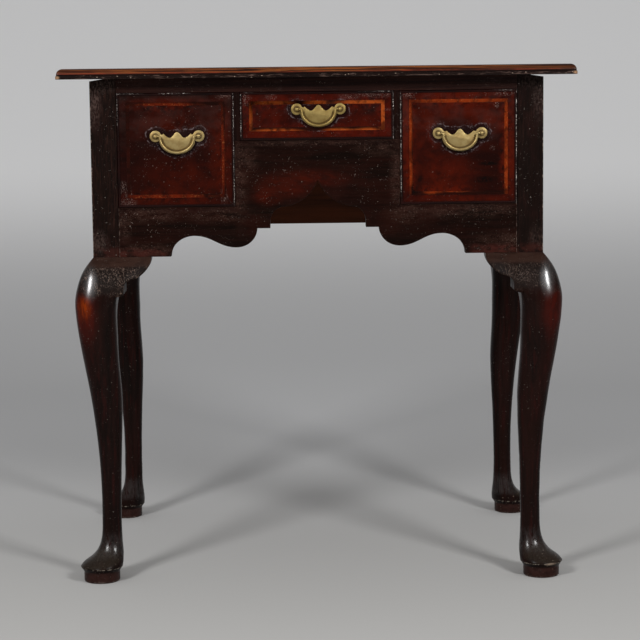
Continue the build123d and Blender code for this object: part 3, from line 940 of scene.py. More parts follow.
    def foot(self, g: Graph) -> None:
        """Painted sheen on the upward-facing instep, a scuffed line under the rim, grit, and a reddish ring
        below.

        Args:
            g: the material's graph.
        """
        # Painted sheen: the instep is lighter where it faces up, mottled along the grain.
        upward = g.rise(g.facing_up(), 0.15, 0.75)
        instep_sheen = g.times(upward, g.rise(g.z, 70, 40))
        mottled = g.level(g.cloud(self.grain(14, 2.2), 0.36, 0.62, rough=0.7, seed=56), 0.4, 0.95)
        g.paint((46, 39, 33), instep_sheen, mottled)
        low = g.rise(g.z, 46, 26)
        rim = g.between(g.z, 19.2, 19.7, 20.6, 21.2)
        rim = g.times(rim, g.cloud(4, 0.5, 0.6, rough=0.75, seed=16))
        g.paint((176, 164, 148), rim, 0.6)
        right = g.rise(g.x, -20, 20)
        grit = g.times(g.flecks(2.8, 0.3, 0.16, 17), low, g.level(right, 0.25, 1.0))
        grit = g.most(grit, g.times(g.spot(g.x, g.z, (318, 20, 7, 1.6), 0.6), g.rise(g.y, -225, -235)))
        g.paint((170, 150, 132), grit, 0.7)
        ring = g.rise(g.z, 16.0, 14.0)
        stained = g.level(g.cloud((9, 9, 6), 0.36, 0.62, rough=0.7, seed=57), 0.45, 0.95)
        g.paint((52, 31, 27), ring, stained)
        dusty = g.times(g.rise(g.z, 3.4, 1.4), g.cloud((3, 3, 2), 0.5, 0.6, rough=0.7, seed=58))
        g.paint((150, 134, 124), dusty, 0.45)

    def weathering(self, g: Graph) -> tuple[Value, Value]:
        """Wear of the knee, the post and the foot, painted sheen on the knee's top and the instep, and pale
        specks all over.

        Args:
            g: the material's graph.

        Returns:
            How dull the wood is and how scratched it is, both from 0 to 1.
        """
        self.knee_glow(g)
        cap, marks = self.knee_cap(g)
        matt = self.post(g)
        self.foot(g)
        red = g.times(g.cloud((5, 5, 90), 0.5, 0.66, seed=27), g.rise(g.z, 395, 340), g.rise(g.z, 20, 60))
        g.paint((44, 15, 12), red, 0.5)
        specks = g.times(g.specks(18), g.level(g.rise(g.z, 452, 454), 0.6, 1.0))
        g.paint((186, 174, 164), specks, 0.8)
        ribs = g.times(g.cloud(self.grain(70, 1.3), 0.36, 0.66, seed=31), 0.3)
        return g.most(matt, cap), g.most(marks, specks, ribs)


@dataclass(frozen=True)
class ApronWood(Wood):
    """Apron wood: dark, warm above the arch, with fine pale dirt where it gathers."""

    glows: tuple[Spot, ...] = ((-42, 549, 32, 14), (-68, 538, 18, 13), (20, 557, 18, 8), (-10, 560, 36, 8))
    dirt: tuple[Spot, ...] = (
        (-232, 511, 40, 9), (-136, 510, 34, 9), (-106, 560, 8, 50), (-96, 585, 12, 16),
        (-232, 461, 34, 8), (108, 562, 7, 48), (84, 600, 26, 9), (-20, 606, 90, 3),
        (122, 512, 20, 14), (202, 512, 66, 8), (262, 468, 38, 12), (-266, 496, 8, 20),
    )
    worn: Tint = (38, 22, 16)

    def weathering(self, g: Graph) -> tuple[Value, Value]:
        """Warm patches over the arch, soft dirt, a brown worn arris and pale specks.

        Args:
            g: the material's graph.

        Returns:
            How dull the wood is and how scratched it is, both from 0 to 1.
        """
        soft = g.cloud((18, 18, 9), 0.3, 0.6, warp=0.3, seed=31)
        g.paint(self.warm, g.spots(self.glows, 0.7), g.level(soft, 0.3, 1.0), 0.66)
        ruddy = g.times(g.spot(g.x, g.z, (0, 520, 240, 60), 0.6), g.cloud((60, 60, 30), 0.4, 0.65, seed=36))
        g.paint((40, 15, 10), ruddy, 0.5)
        haze = g.times(g.spots(self.dirt, 0.9), g.cloud((17, 17, 6), 0.36, 0.64, seed=33))
        g.paint(self.dust, haze, 0.3)
        fine = g.cloud((3.0, 3.0, 1.0), 0.54, 0.64, rough=0.78, seed=32)
        patch = g.cloud((12, 12, 9), 0.42, 0.6, seed=40)
        grit = g.most(g.times(fine, patch), g.flecks((1.9, 1.9, 1.5), 0.34, 0.3, 47))
        grit = g.times(g.spots(self.dirt, 0.8), grit)
        g.paint((122, 94, 82), grit, 0.42)
        brushed = g.times(g.cloud((14, 14, 1.0), 0.57, 0.68, rough=0.74, seed=37), 0.1)
        g.paint((76, 54, 46), brushed)
        arris = g.times(g.edge_wear(4.0), g.cloud(10, 0.3, 0.55, seed=38))
        g.paint(self.worn, arris, 0.6)
        foot = g.times(g.rise(g.z, 468, 460), g.rise(g.side, 205, 215))
        g.paint((76, 36, 30), foot, g.cloud((14, 14, 8), 0.36, 0.6, seed=39), 0.5)
        seam = g.times(g.line(g.side, CASE.post_inner - 0.5, 0.8), g.cloud(4, 0.46, 0.58, rough=0.7, seed=34))
        g.paint((124, 106, 98), seam, 0.4)
        flecks = g.specks(35)
        g.paint((176, 158, 148), flecks, 0.75)
        return g.most(g.times(haze, 0.8), flecks), g.most(grit, flecks)


def about_handle(g: Graph, handle: Point) -> tuple[Socket, Socket, Socket]:
    """How far a place on the front is from a handle, in mm.

    Args:
        g: the material's graph.
        handle: the handle's middle on the front.

    Returns:
        Across from its middle, up from its posts' line, and out from its nearer post.
    """
    across, up = g.math("SUBTRACT", g.x, handle[0]), g.math("SUBTRACT", g.z, handle[1])
    return across, up, g.math("SUBTRACT", g.math("ABSOLUTE", across), POST_SPACING / 2)


@dataclass(frozen=True)
class VeneerWood(Wood):
    """Drawer veneer: deep red-brown, with warm patches and a scratched ring round the handle."""

    handle: Point = (0.0, 0.0)
    glows: tuple[Spot, ...] = ()
    glow: Tint = (96, 28, 8)
    pale: tuple[Spot, ...] = ()
    lit: tuple[Spot, ...] = ()
    dust_and_sheen: float = 0.1
    belly: Point = (25.0, 24.5)
    belly_top: float = 4.0

    def plate_distance(self, g: Graph) -> Socket:
        """About how far a place on the front is from the handle's plate, in mm.

        The plate is two circles about the posts and a half ellipse between them.

        Args:
            g: the material's graph.

        Returns:
            The distance, under 0 on the plate.
        """
        dx, dz, side = about_handle(g, self.handle)
        lobe = g.math("SUBTRACT", g.length(side, dz), PLATE_LOBE)
        wide, deep = self.belly
        belly = g.math("MULTIPLY_ADD", g.length(g.times(dx, 1 / wide), g.times(dz, 1 / deep)), deep, -deep)
        return g.math("MINIMUM", lobe, g.most(belly, g.math("SUBTRACT", dz, self.belly_top)))

    def weathering(self, g: Graph) -> tuple[Value, Value]:
        """Warm patches, dirt and scratches round the handle, dust and painted sheen toward the top, scuffs
        and pale nicks.

        Args:
            g: the material's graph.

        Returns:
            How dull the wood is and how scratched it is, both from 0 to 1.
        """
        soft = g.cloud(22, 0.3, 0.64, warp=0.4, seed=self.seed + 20)
        if self.glows:
            g.paint(self.glow, g.spots(self.glows, 0.8), g.level(soft, 0.2, 1.0), 0.62)
        near_string = g.spots(tuple((x, z, a + 4.0, b + 4.5) for x, z, a, b in self.lit), 0.8)
        bleed = g.cloud(9, 0.36, 0.62, rough=0.65, seed=self.seed + 28)
        g.paint(self.glow, near_string, bleed, 0.85)
        far = self.plate_distance(g)
        wavy = g.math("ADD", far, g.level(g.noise(11, 3, 0.6, 0, self.seed + 21), -3.5, 3.5))
        dirt = g.times(g.rise(wavy, 7.5, 2.0), 0.75)
        g.paint((18, 8, 8), dirt)
        broken = g.cloud(6, 0.47, 0.6, rough=0.75, seed=self.seed + 22)
        ring = g.times(g.line(wavy, 4.8, 1.0), broken)
        fine = g.cloud(1.4, 0.55, 0.64, rough=0.78, seed=self.seed + 23)
        gathered = g.cloud(13, 0.42, 0.6, seed=self.seed + 26)
        rubbed = g.times(g.rise(wavy, 11, 5), g.rise(wavy, 0.5, 2.0), fine, gathered)
        marks = g.most(g.times(ring, 0.75), g.times(rubbed, 0.8))
        g.paint((140, 126, 128), marks, 0.5)
        # Dust and painted sheen: the upper part of the front is greyed in soft patches.
        dust_and_sheen_patches = g.cloud((26, 26, 18), 0.4, 0.66, seed=self.seed + 27)
        g.paint((112, 92, 86), g.rise(g.z, 585, 640), dust_and_sheen_patches, self.dust_and_sheen)
        nicks = g.specks(self.seed + 24)
        crust = g.most(
            g.flecks(2.1, 0.34, 0.45, self.seed + 25),
            g.cloud(1.3, 0.55, 0.64, rough=0.75, seed=self.seed + 25),
        )
        nicks = g.most(nicks, g.times(g.spots(self.pale, 0.7), crust, 0.8))
        g.paint((176, 150, 140), nicks, 0.65)
        return g.most(g.times(marks, 0.7), g.times(nicks, 0.8)), g.most(marks, nicks)


@dataclass(frozen=True)
class StringWood(Wood):
    """Inlaid string: dark where old polish covers it, orange where light comes through."""

    lit: tuple[Spot, ...] = ()
    bright: Tint = (158, 76, 24)

    def weathering(self, g: Graph) -> tuple[Value, Value]:
        """The lit lengths, broken by dark patches, with pale rubs on them.

        Args:
            g: the material's graph.

        Returns:
            How dull the wood is and how scratched it is, both from 0 to 1.
        """
        patch = g.cloud(11, 0.3, 0.56, rough=0.65, seed=self.seed + 30)
        lit = g.times(g.spots(self.lit, 0.6), g.level(patch, 0.2, 1.0))
        g.paint(self.bright, lit, 0.9)
        rub = g.times(lit, g.cloud(2.2, 0.56, 0.66, rough=0.7, seed=self.seed + 31))
        g.paint((186, 112, 62), rub, 0.4)
        dark = g.cloud(5, 0.62, 0.7, rough=0.7, seed=self.seed + 32)
        g.paint((20, 8, 5), dark, 0.7)
        return g.times(rub, 0.5), rub


@dataclass(frozen=True)
class BeadWood(Wood):
    """Cock bead: dark red, rubbed to broken pale lines along its outer edge."""

    box: tuple[float, float, float, float] = (0.0, 0.0, 0.0, 0.0)
    sides: tuple[tuple[int, float, float, float], ...] = ()

    def weathering(self, g: Graph) -> tuple[Value, Value]:
        """One dotted line for each worn side: its number (left, right, top), ends and strength.

        Args:
            g: the material's graph.

        Returns:
            How dull the wood is and how scratched it is, both from 0 to 1.
        """
        x0, x1, _, z1 = self.box
        inward = (g.math("SUBTRACT", g.x, x0), g.math("SUBTRACT", x1, g.x), g.math("SUBTRACT", z1, g.z))
        dots = g.cloud(2.2, 0.51, 0.57, rough=0.7, seed=self.seed + 40)
        dots = g.times(dots, g.level(g.cloud(13, 0.38, 0.56, seed=self.seed + 41), 0.25, 1.0))
        lines = []
        for side, low, high, strength in self.sides:
            run = g.x if side == 2 else g.z
            ends = g.times(g.rise(run, low - 6, low + 6), g.rise(run, high + 6, high - 6))
            lines.append(g.times(g.rise(inward[side], 1.5, 0.8), ends, strength))
        worn = g.times(g.most(*lines), dots, g.rise(g.y, CASE.front_y + 0.5, CASE.front_y - 0.1))
        g.paint((216, 206, 198), worn, 0.85)
        return g.times(worn, 0.6), worn


@dataclass(frozen=True)
class TopWood(Wood):
    """Top wood: reddish boards, a moulded edge with golden wear and painted highlight, and a chipped lower
    band.
    """

    gold: Tint = (134, 74, 34)
    chip: Tint = (176, 154, 136)

    def weathering(self, g: Graph) -> tuple[Value, Value]:
        """Painted shade in the step of the moulding, golden wear and painted highlight on its round, and pale
        chips under it.

        Args:
            g: the material's graph.

        Returns:
            How dull the wood is and how scratched it is, both from 0 to 1.
        """
        edge_on = g.rise(g.z, 709.7, 709.2)
        middle = g.spot(g.x, g.z, (-40, 705, 260, 60), 0.5)
        # Golden wear and painted highlight on the upper round of the moulding, strongest in the middle of the
        # front.
        worn = g.times(g.cloud((70, 70, 1.1), 0.44, 0.6, rough=0.65, warp=0.2, seed=41), edge_on)
        upper = g.times(g.rise(g.z, 702.6, 704.0), worn, g.level(middle, 0.45, 1.0))
        g.paint(self.gold, upper, 0.8)
        # Warm wood and painted highlight: a thin red line low on the round.
        red = g.times(g.line(g.z, 703.4, 1.0), g.cloud((40, 40, 8), 0.4, 0.6, seed=44), edge_on)
        g.paint((124, 46, 24), red, 0.7)
        # Painted shade: a dark line in the step of the moulding.
        step = g.times(g.line(g.z, 701.4, 1.3), edge_on)
        g.paint((12, 6, 5), step, 0.85)
        lower = g.rise(g.z, 701.2, 700.6)
        g.paint((17, 8, 6), lower, 0.9)
        scuffed = g.times(g.cloud((18, 18, 2.0), 0.54, 0.66, rough=0.74, seed=42), lower)
        g.paint((116, 92, 82), scuffed, 0.5)
        chips = g.times(g.flecks((4.5, 4.5, 2.2), 0.28, 0.2, 43), lower)
        g.paint(self.chip, chips, 0.8)
        corner = g.times(g.spot(g.side, g.z, (349.5, 698.4, 3.6, 2.0), 0.6), g.rise(g.y, -222, -230))
        g.paint((170, 132, 100), corner, 0.8)
        marked = g.most(g.times(scuffed, 0.6), chips)
        return marked, marked


@dataclass(frozen=True)
class Brass:
    """Old brass: pale yellow, with faint brown tarnish in soft patches."""

    name: str = "old_brass"
    bright: Tint = (190, 168, 112)
    dull: Tint = (168, 142, 88)
    roughness: float = 0.42
    handle: Point = (0.0, 0.0)
    # half sizes of the arc of the bail's painted shadow
    bail_shadow: Point = (20.4, 19.8)

    def build(self) -> Material:
        """Draws soft tarnish, a dark ring of old polish and painted shade on the plate about each post, and a
        painted shadow of the bail on the plate.

        Returns:
            The finished material.
        """
        material, g = empty_material(self.name)
        g.tone = g.blend(g.cloud(12, 0.36, 0.68, seed=51), self.bright, self.dull)
        dx, dz, side = about_handle(g, self.handle)
        off_post = g.length(side, dz)
        on_plate = g.rise(g.y, CASE.front_y - 2.6, CASE.front_y - 1.9)
        # Old polish and painted shade: a dark ring on the plate round the foot of each post.
        ring = g.times(g.rise(off_post, 5.6, 3.6), on_plate)
        g.paint((74, 54, 28), ring, 0.8)
        # Painted shadow of the bail: a dark arc on the plate just inside its lower half.
        wide, deep = self.bail_shadow
        around = g.length(g.times(dx, 1 / wide), g.times(dz, 1 / deep))
        arc = g.math("ABSOLUTE", g.math("SUBTRACT", around, 1.0))
        bail_shadow = g.times(g.rise(arc, 0.1, 0.03), g.rise(dz, -1, -5), on_plate)
        g.paint((92, 70, 38), bail_shadow, 0.6)
        specks = g.flecks(2.6, 0.22, 0.05, 52)
        g.paint((96, 74, 44), specks, 0.4)
        rub = g.noise(1.6, 3, 0.6, 0, 53)
        rough = g.level(rub, self.roughness - 0.05, self.roughness + 0.08)
        wave = g.noise(6, 2, 0.5, 0, 54)
        g.finish(rough, wave, 0.02, Metallic=0.8, Specular_IOR_Level=0.5)
        return material


@dataclass(frozen=True)
class Iron:
    """Old screws: dark grey-brown, slightly rusty."""

    name: str = "old_iron"

    def build(self) -> Material:
        """Draws grey iron with rust in soft patches, which is the duller of the two.

        Returns:
            The finished material.
        """
        material, g = empty_material(self.name)
        rust = g.cloud(2, 0.4, 0.65, seed=61)
        g.tone = g.blend(rust, (66, 62, 58), (88, 52, 34))
        g.finish(g.level(rust, 0.42, 0.7), rust, 0.03, Metallic=0.7)
        return material


@dataclass
class Finishes:
    """Every finish that several pieces share, built once."""

    made: dict[str, Material] = field(default_factory=dict)

    def __post_init__(self) -> None:
        """Builds each material and keeps it by name."""
        recipes = (
            TopWood("top_walnut", (26, 11, 8), (52, 23, 15), (70, 32, 18), Axis.X, 190, 5,
                    sheen=0.12, coat=0.05),
            LegWood("leg_wood", (14, 7, 5), (26, 13, 10), (38, 15, 10), Axis.Z, 240, 5.5,
                    warmth=0.4, roughness=0.26, sheen=0.05, coat=0.02, coat_roughness=0.27,
                    coat_bend=2.0, pores=0.15),
            LegWood("ear_wood", (14, 7, 5), (26, 13, 10), (38, 15, 10), Axis.Z, 240, 5.5,
                    warmth=0.4, roughness=0.34, sheen=0.04, coat=0.02, coat_roughness=0.3, pores=0.15),
            Wood("side_wood", (24, 11, 8), (42, 19, 13), (56, 24, 14), Axis.Y, 170, 4, roughness=0.34,
                 coat=0.1, pores=0.25),
            Wood("rail_wood", (28, 13, 11), (48, 26, 21), (56, 28, 21), Axis.X, 90, 2.4, roughness=0.36,
                 dust=(74, 58, 54), dusting=0.6, flecking=0.05, pores=0.25),
            Wood("partition_wood", (18, 9, 7), (30, 15, 12), (38, 17, 13), Axis.Z, 90, 2.4,
                 roughness=0.4, dust=(80, 54, 46), dusting=0.45, flecking=0.1, sheen=0.03),
            ApronWood("apron_wood", (14, 7, 5), (25, 12, 9), (72, 18, 7), Axis.X, 130, 5.0,
                      warmth=0.06, dust=(70, 46, 38), roughness=0.36, sheen=0.03, pores=0.2),
            Wood("back_wood", (56, 27, 12), (80, 38, 17), (90, 44, 20), Axis.X, 220, 8, roughness=0.4,
                 dusting=0.1, flecking=0.01),
            Wood("inner_wood", (88, 62, 42), (124, 92, 64), (140, 100, 66), Axis.Y, 160, 4,
                 roughness=0.62, sheen=0.3, dust=(96, 76, 58), flecking=0.02),
        )
        for recipe in (*recipes, Brass(), Iron()):
            self.made[recipe.name] = recipe.build()

    def __getitem__(self, name: str) -> Material:
        """One finish by its name."""
        return self.made[name]


# ------------------------------------------------------------------------------- top
@dataclass
class TopBoard:
    """The top: a square lower band, a step, and a rounded upper edge."""

    half_width: float = 351.5
    half_depth: float = 240.0
    corner: float = 4.0
    low_z: float = 696.0
    high_z: float = 710.0
    band: float = 4.6
    setback: float = 1.1
    round_radius: float = 8.2
    underside: float = 60.0
    spacing: float = 5.0
    wear: float = 0.22
    wear_lengths: Point = (60.0, 17.0)
    unworn: float = 0.2
    seed: int = 5

    def profile(self) -> np.ndarray:
        """Insets and heights from the underside, up over the moulding, to the flat top.

        Returns:
            Rows of inset and height.
        """
        band_z = self.low_z + self.band
        lower = [
            (self.underside, self.low_z), (9, self.low_z), (0.9, self.low_z), (0.35, self.low_z + 0.15),
            (0.05, self.low_z + 0.6), (0, self.low_z + 1.2), (0, band_z - 1.1), (0.08, band_z - 0.4),
            (0.4, band_z - 0.05), (0.8, band_z), (self.setback + 0.25, band_z + 0.05),
            (self.setback + 0.1, band_z + 0.5),
        ]
        turn = np.linspace(0, np.pi / 2, 13)
        start = self.high_z - self.round_radius
        quarter = np.stack([
            self.setback + self.round_radius * (1 - np.cos(turn)),
            start + self.round_radius * np.sin(turn),
        ], -1)
        flat = (self.setback + self.round_radius + 6, self.high_z)
        return np.concatenate([lower, quarter, [flat]])

    def make(self, finishes: Finishes) -> None:
        """Carries the profile round the board and closes it above and below.

        Args:
            finishes: the finishes that pieces share.
        """
        rings = carried_round((self.half_width, self.half_depth), self.corner, self.profile(), self.spacing)
        long, short = self.wear_lengths
        worn = np.clip(ripple(rings * (1, 1, 3), long, self.seed), 0, 1)
        worn += 0.5 * np.clip(ripple(rings, short, self.seed + 1), 0, 1)
        inward = rings[..., :2] / np.linalg.norm(rings[..., :2], axis=-1, keepdims=True)
        z = rings[..., 2]
        edge = (z > self.low_z + self.unworn) & (z < self.high_z - self.unworn)
        rings[..., :2] -= inward * (self.wear * worn * edge)[..., None]
        piece = new_piece("top_panel", closed_shell(rings), finishes["top_walnut"])
        place(piece, "case", "top_wood", "top_board")


# ------------------------------------------------------------------------------- legs
@dataclass
class CabrioleLeg:
    """A square post that turns into a cabriole leg on a pad foot, as one piece of wood.

    Every level of it is a square with rounded corners. Its size, its place and its corners follow a
    smooth curve through a few stations down the leg.
    """

    hand: Hand
    at_back: bool
    corner_points: int = 12
    side_points: int = 5
    pad_inset: float = 1.65
    relief_drop: float = 3.0
    relief_width: float = 19.0
    post_shares: Point = (0.035, 0.03)
    pad_share: float = 0.49
    post_levels: tuple[float, ...] = (696.0, 695.5, *np.linspace(690, 456, 40), 453.6, 453.1)
    leg_levels: tuple[float, ...] = (452.9, *np.arange(452, 60, -2.6), *np.arange(60, 21.5, -1.1), 21.5)
    hand_work: float = 0.28
    hand_length: float = 55.0
    hand_from: float = 22.0
    hand_to: float = 395.0
    hand_fade: Point = (20.0, 40.0)
    first_seed: int = 70
    # height above the floor, inset from the post's faces, width, outer corner's share, others' share
    stations: tuple[tuple[float, ...], ...] = (
        (21.5, -27.55, 58.4, 0.49, 0.49),
        (26.9, -22.55, 53.95, 0.48, 0.48),
        (31.0, -16.2, 47.7, 0.47, 0.47),
        (37.5, -8.4, 39.8, 0.46, 0.46),
        (48.0, -1.9, 32.4, 0.46, 0.46),
        (60.0, 1.2, 28.5, 0.46, 0.46),
        (80.0, 2.4, 26.9, 0.46, 0.46),
        (110.0, 2.7, 26.9, 0.46, 0.46),
        (155.0, 1.5, 29.2, 0.46, 0.46),
        (209.0, -2.6, 35.6, 0.46, 0.46),
        (266.0, -9.9, 43.7, 0.45, 0.45),
        (311.0, -17.2, 48.2, 0.45, 0.44),
        (344.0, -22.2, 52.6, 0.44, 0.42),
        (380.0, -25.8, 56.2, 0.43, 0.34),
        (396.0, -25.8, 57.8, 0.42, 0.18),
        (410.0, -23.3, 57.6, 0.40, 0.05),
        (424.0, -19.0, 54.8, 0.36, 0.03),
        (436.0, -13.2, 49.2, 0.29, 0.03),
        (446.0, -6.0, 42.0, 0.17, 0.03),
        (453.0, 0.0, 36.0, 0.04, 0.03),
    )
    # radius and height round the pad, from the rim's lip down
    pad: tuple[Point, ...] = (
        (29.2, 20.9), (29.0, 20.2), (28.6, 19.5), (28.0, 18.7), (27.2, 17.7), (26.4, 16.6), (25.7, 15.5),
        (25.2, 14.5), (24.95, 13.7), (24.75, 13.3), (24.8, 12.9), (24.9, 12.0), (24.9, 8.0), (24.9, 3.0),
        (24.8, 1.6), (24.4, 0.6), (23.7, 0.1), (22.8, 0.0),
    )

    @property
    def name(self) -> str:
        """The frame node that this leg stands for."""
        return f"{'back' if self.at_back else 'front'}_{self.hand.word}_leg"

    def outline(self, level: np.ndarray) -> np.ndarray:
        """Rings of points for the front right leg.

        Each corner is a quarter circle, each side a straight row of points between two of them.

        Args:
            level: rows of height, inset, width, outer corner's share and the others' share.

        Returns:
            An array of rings, points and x, y, z.
        """
        inset, width, outer, other = (level[:, i : i + 1] for i in range(1, 5))
        x1, y0 = CASE.half_width - inset, CASE.front_y + inset
        x0, y1 = x1 - width, y0 + width
        corners = (
            (x1, y0, -1, 1, outer), (x1, y1, -1, -1, other), (x0, y1, 1, -1, other), (x0, y0, 1, 1, other),
        )
        arcs = []
        for quarter, (x, y, inward_x, inward_y, share) in enumerate(corners):
            r = share * width
            arcs.append(corner_arc(x + inward_x * r, y + inward_y * r, r, quarter - 1, self.corner_points))
        return joined_arcs(arcs, (self.side_points + 1,) * len(arcs), level[:, 0])

    def levels(self) -> np.ndarray:
        """Every level of the leg, from the top of its post down to the floor.

        Returns:
            Rows of height, inset, width, outer corner's share and the others' share.
        """
        table = np.array(self.stations)
        straight = np.tile((0.0, CASE.post, *self.post_shares), (len(self.post_levels), 1))
        post = np.column_stack([self.post_levels, straight])
        leg_z = np.array(self.leg_levels)
        leg = np.column_stack([leg_z, cubic_through(table[:, 0], table[:, 1:], leg_z)])
        pad = np.array(self.pad)
        shares = np.full((len(pad), 2), self.pad_share)
        foot = np.column_stack([pad[:, 1], self.pad_inset - pad[:, 0], 2 * pad[:, 0], shares])
        return np.concatenate([post, leg, foot])

    def rings(self) -> np.ndarray:
        """All rings of the front right leg, eased at the post's top and a little uneven below the knee.

        Returns:
            An array of rings, points and x, y, z.
        """
        rings = self.outline(self.levels())
        relief = np.clip((rings[..., 0] - CASE.half_width + self.relief_width) / self.relief_width, 0, 1)
        rings[..., 2] -= self.relief_drop * relief * (rings[..., 2] > CASE.top_z - 1)
        middle = rings.mean(axis=1, keepdims=True)
        outward = rings - middle
        outward /= np.maximum(np.linalg.norm(outward, axis=-1, keepdims=True), 1)
        z = rings[..., 2]
        low_fade, high_fade = self.hand_fade
        free = np.clip((self.hand_to - z) / high_fade, 0, 1) * np.clip((z - self.hand_from) / low_fade, 0, 1)
        seed = self.first_seed + 2 * self.at_back + (self.hand is Hand.LEFT)
        rings += outward * (self.hand_work * free * ripple(rings, self.hand_length, seed))[..., None]
        return rings

    def make(self, finishes: Finishes) -> None:
        """Places the rings at this corner of the case and skins them.

        Args:
            finishes: the finishes that pieces share.
        """
        rings = self.rings()
        rings[..., 0] *= self.hand.value
        if self.at_back:
            rings[..., 1] = 2 * CASE.middle_y - rings[..., 1]
        piece = new_piece(f"{self.name}_carved", closed_shell(rings), finishes["leg_wood"], crease=38)
        place(piece, "case", "leg_wood", self.name)


@dataclass
class KneeEar:
    """The carved block beside a knee: its face carries on the knee's swelling under the case.

    Its face is a grid. Columns run along its lower edge, and rows run down from the case. Its depth
    at a point is the knee's own swelling at that height, times a share that fades along the case.
    """

    hand: Hand
    at_back: bool
    on_side: bool
    length: float = 43.5
    drop: float = 54.0
    depth: float = 26.0
    reveal: float = 0.25
    root: float = 6.0
    shoulder: Point = (16.0, 30.5)
    turn: Point = (8.0, 35.0)
    foot: Point = (6.5, 48.0)
    swell: tuple[Point, ...] = ((-45.0, 0.06), (-17.8, 0.72), (0.0, 1.0), (7.0, 1.0))
    # share of the way down, and how far the face is rounded back there
    rounding: tuple[Point, ...] = ((0.93, 0.0), (0.955, 0.12), (0.975, 0.35), (0.99, 0.7), (1.0, 1.3))
    smooth_drop: float = 70.0
    smooth_stations: int = 8

    @property
    def name(self) -> str:
        """The frame node that this ear stands for."""
        end = "back" if self.at_back else "front"
        return f"{end}_{self.hand.word}_{'side' if self.on_side else 'apron'}_ear"

    def lower_edge(self) -> np.ndarray:
        """Points (along, drop) of the lower edge, from the tip of the ear into the leg.

        Returns:
            Rows of along and drop.
        """
        tip, shoulder, turn, foot, end = (
            (-self.length, 0.0), (-self.shoulder[0], self.shoulder[1]), (-self.turn[0], self.turn[1]),
            (-self.foot[0], self.foot[1]), (self.root, self.drop),
        )
        return np.concatenate([
            [tip],
            hermite(tip, shoulder, (0, 1), (1, 0.12), 18),
            hermite(shoulder, turn, (1, 0.12), (0.7, 0.72), 6),
            hermite(turn, foot, (0.7, 0.72), (0.12, 1), 8),
            hermite(foot, end, (0.12, 1), (1, 0.5), 8),
        ])

    def face(self) -> np.ndarray:
        """The grid of the carved face, with its rounded lower edge.

        Returns:
            An array of rows, columns and (along, out, down).
        """
        edge = self.lower_edge()
        along = np.maximum.accumulate(edge[:, 0] + np.linspace(0, 0.01, len(edge)))
        rounded, backward = np.array(self.rounding).T
        rows = np.concatenate([np.linspace(0, rounded[0], 22), rounded[1:]])
        pull = np.interp(rows, rounded, backward)
        down = rows[:, None] * edge[:, 1][None]
        x = np.broadcast_to(along, down.shape)
        table = np.array(CabrioleLeg.stations)[::-1]
        knots, near = CASE.bottom_z - table[:, 0], slice(self.smooth_stations)
        smooth = cubic_through(knots[near], -table[near, 1:2], np.clip(down.ravel(), 0, 72))
        plain = np.interp(down, knots, -table[:, 1])
        bulge = np.where(down < self.smooth_drop, smooth.reshape(down.shape), plain)
        shares = np.array(self.swell)
        share = np.clip(cubic_through(shares[:, 0], shares[:, 1:], along).ravel(), 0, 1)
        out = share[None] * bulge - self.reveal - pull[:, None]
        return np.stack([x, out, down], -1)

    def make(self, finishes: Finishes) -> None:
        """Closes the face with a flat back, and places the block.

        Args:
            finishes: the finishes that pieces share.
        """
        face = self.face()
        flat = face[::-1].copy()
        flat[..., 1] = -self.depth
        shell = np.concatenate([face, flat])
        rows, columns = shell.shape[:2]
        faces = grid_quads(rows, columns, False).tolist() + self.closed_ends(rows, columns)
        points = self.placed(shell.reshape(-1, 3))
        piece = new_piece(f"{self.name}_carved", (points, faces), finishes["ear_wood"], crease=50)
        place(piece, "case", "leg_wood", self.name)

    @staticmethod
    def closed_ends(rows: int, columns: int) -> list[list[int]]:
        """Faces that close the shell on top and at both ends.

        Args:
            rows: how many rows the shell has, its face and its back together.
            columns: how many points a row has.

        Returns:
            Four point numbers for each face.
        """
        last, half = rows - 1, rows // 2
        c = np.arange(columns - 1)
        upper = np.stack([c, c + 1, last * columns + c + 1, last * columns + c], -1)
        r, end = np.arange(half - 1), np.array([[0], [columns - 1]])
        ends = np.stack([row * columns + end for row in (r, r + 1, last - r - 1, last - r)], -1)
        return upper.tolist() + ends.reshape(-1, 4).tolist()

    def placed(self, points: np.ndarray) -> np.ndarray:
        """Turns (along, out, down) into places beside this leg.

        Args:
            points: rows of along, out and down.

        Returns:
            Rows of x, y, z.
        """
        along, out, down = points.T
        dx, dy = along - CASE.post, -out
        if self.on_side:
            dx, dy = -dy, -dx
        x = self.hand.value * (CASE.half_width + dx)
        y = CASE.front_y + dy
        if self.at_back:
            y = 2 * CASE.middle_y - y
        return np.stack([x, y, CASE.bottom_z - down], -1)


# ------------------------------------------------------------------------------- case
@dataclass(frozen=True)
class Board:
    """One board or group of boards of the case or of a drawer box, kept in its frame shape."""

    node: str
    finish: str
    slot: str
    ease: float = 0.5
    body: str = "case"

    def make(self, finishes: Finishes) -> None:
        """Makes the board with eased edges."""
        piece = eased_copy(self.node, finishes[self.finish], self.ease)
        place(piece, self.body, self.slot, self.node)


CASE_BOARDS = (
    Board("left_side_board", "side_wood", "case_wood", 0.7),
    Board("right_side_board", "side_wood", "case_wood", 0.7),
    Board("top_rail", "rail_wood", "case_wood", 0.4),
    Board("left_partition", "partition_wood", "case_wood", 0.4),
    Board("right_partition", "partition_wood", "case_wood", 0.4),
    Board("apron", "apron_wood", "apron_wood", 0.6),
    Board("back_board", "back_wood", "back_wood", 0.6),
    Board("drawer_runners", "inner_wood", "inner_wood", 0.8),
    Board("drawer_guides", "inner_wood", "inner_wood", 0.8),
    Board("drawer_kickers", "inner_wood", "inner_wood", 0.8),
    Board("drawer_stops", "inner_wood", "inner_wood", 0.8),
    Board("top_screws", "old_iron", "iron", 0.3),
)


# ------------------------------------------------------------------------------- drawers
def on_front(middle: Point, places: np.ndarray) -> np.ndarray:
    """Turns (across, up, out) from a point on the front into x, y, z."""
    across, up, out = np.moveaxis(places, -1, 0)
    return np.stack([middle[0] + across, CASE.front_y - out, middle[1] + up], -1)


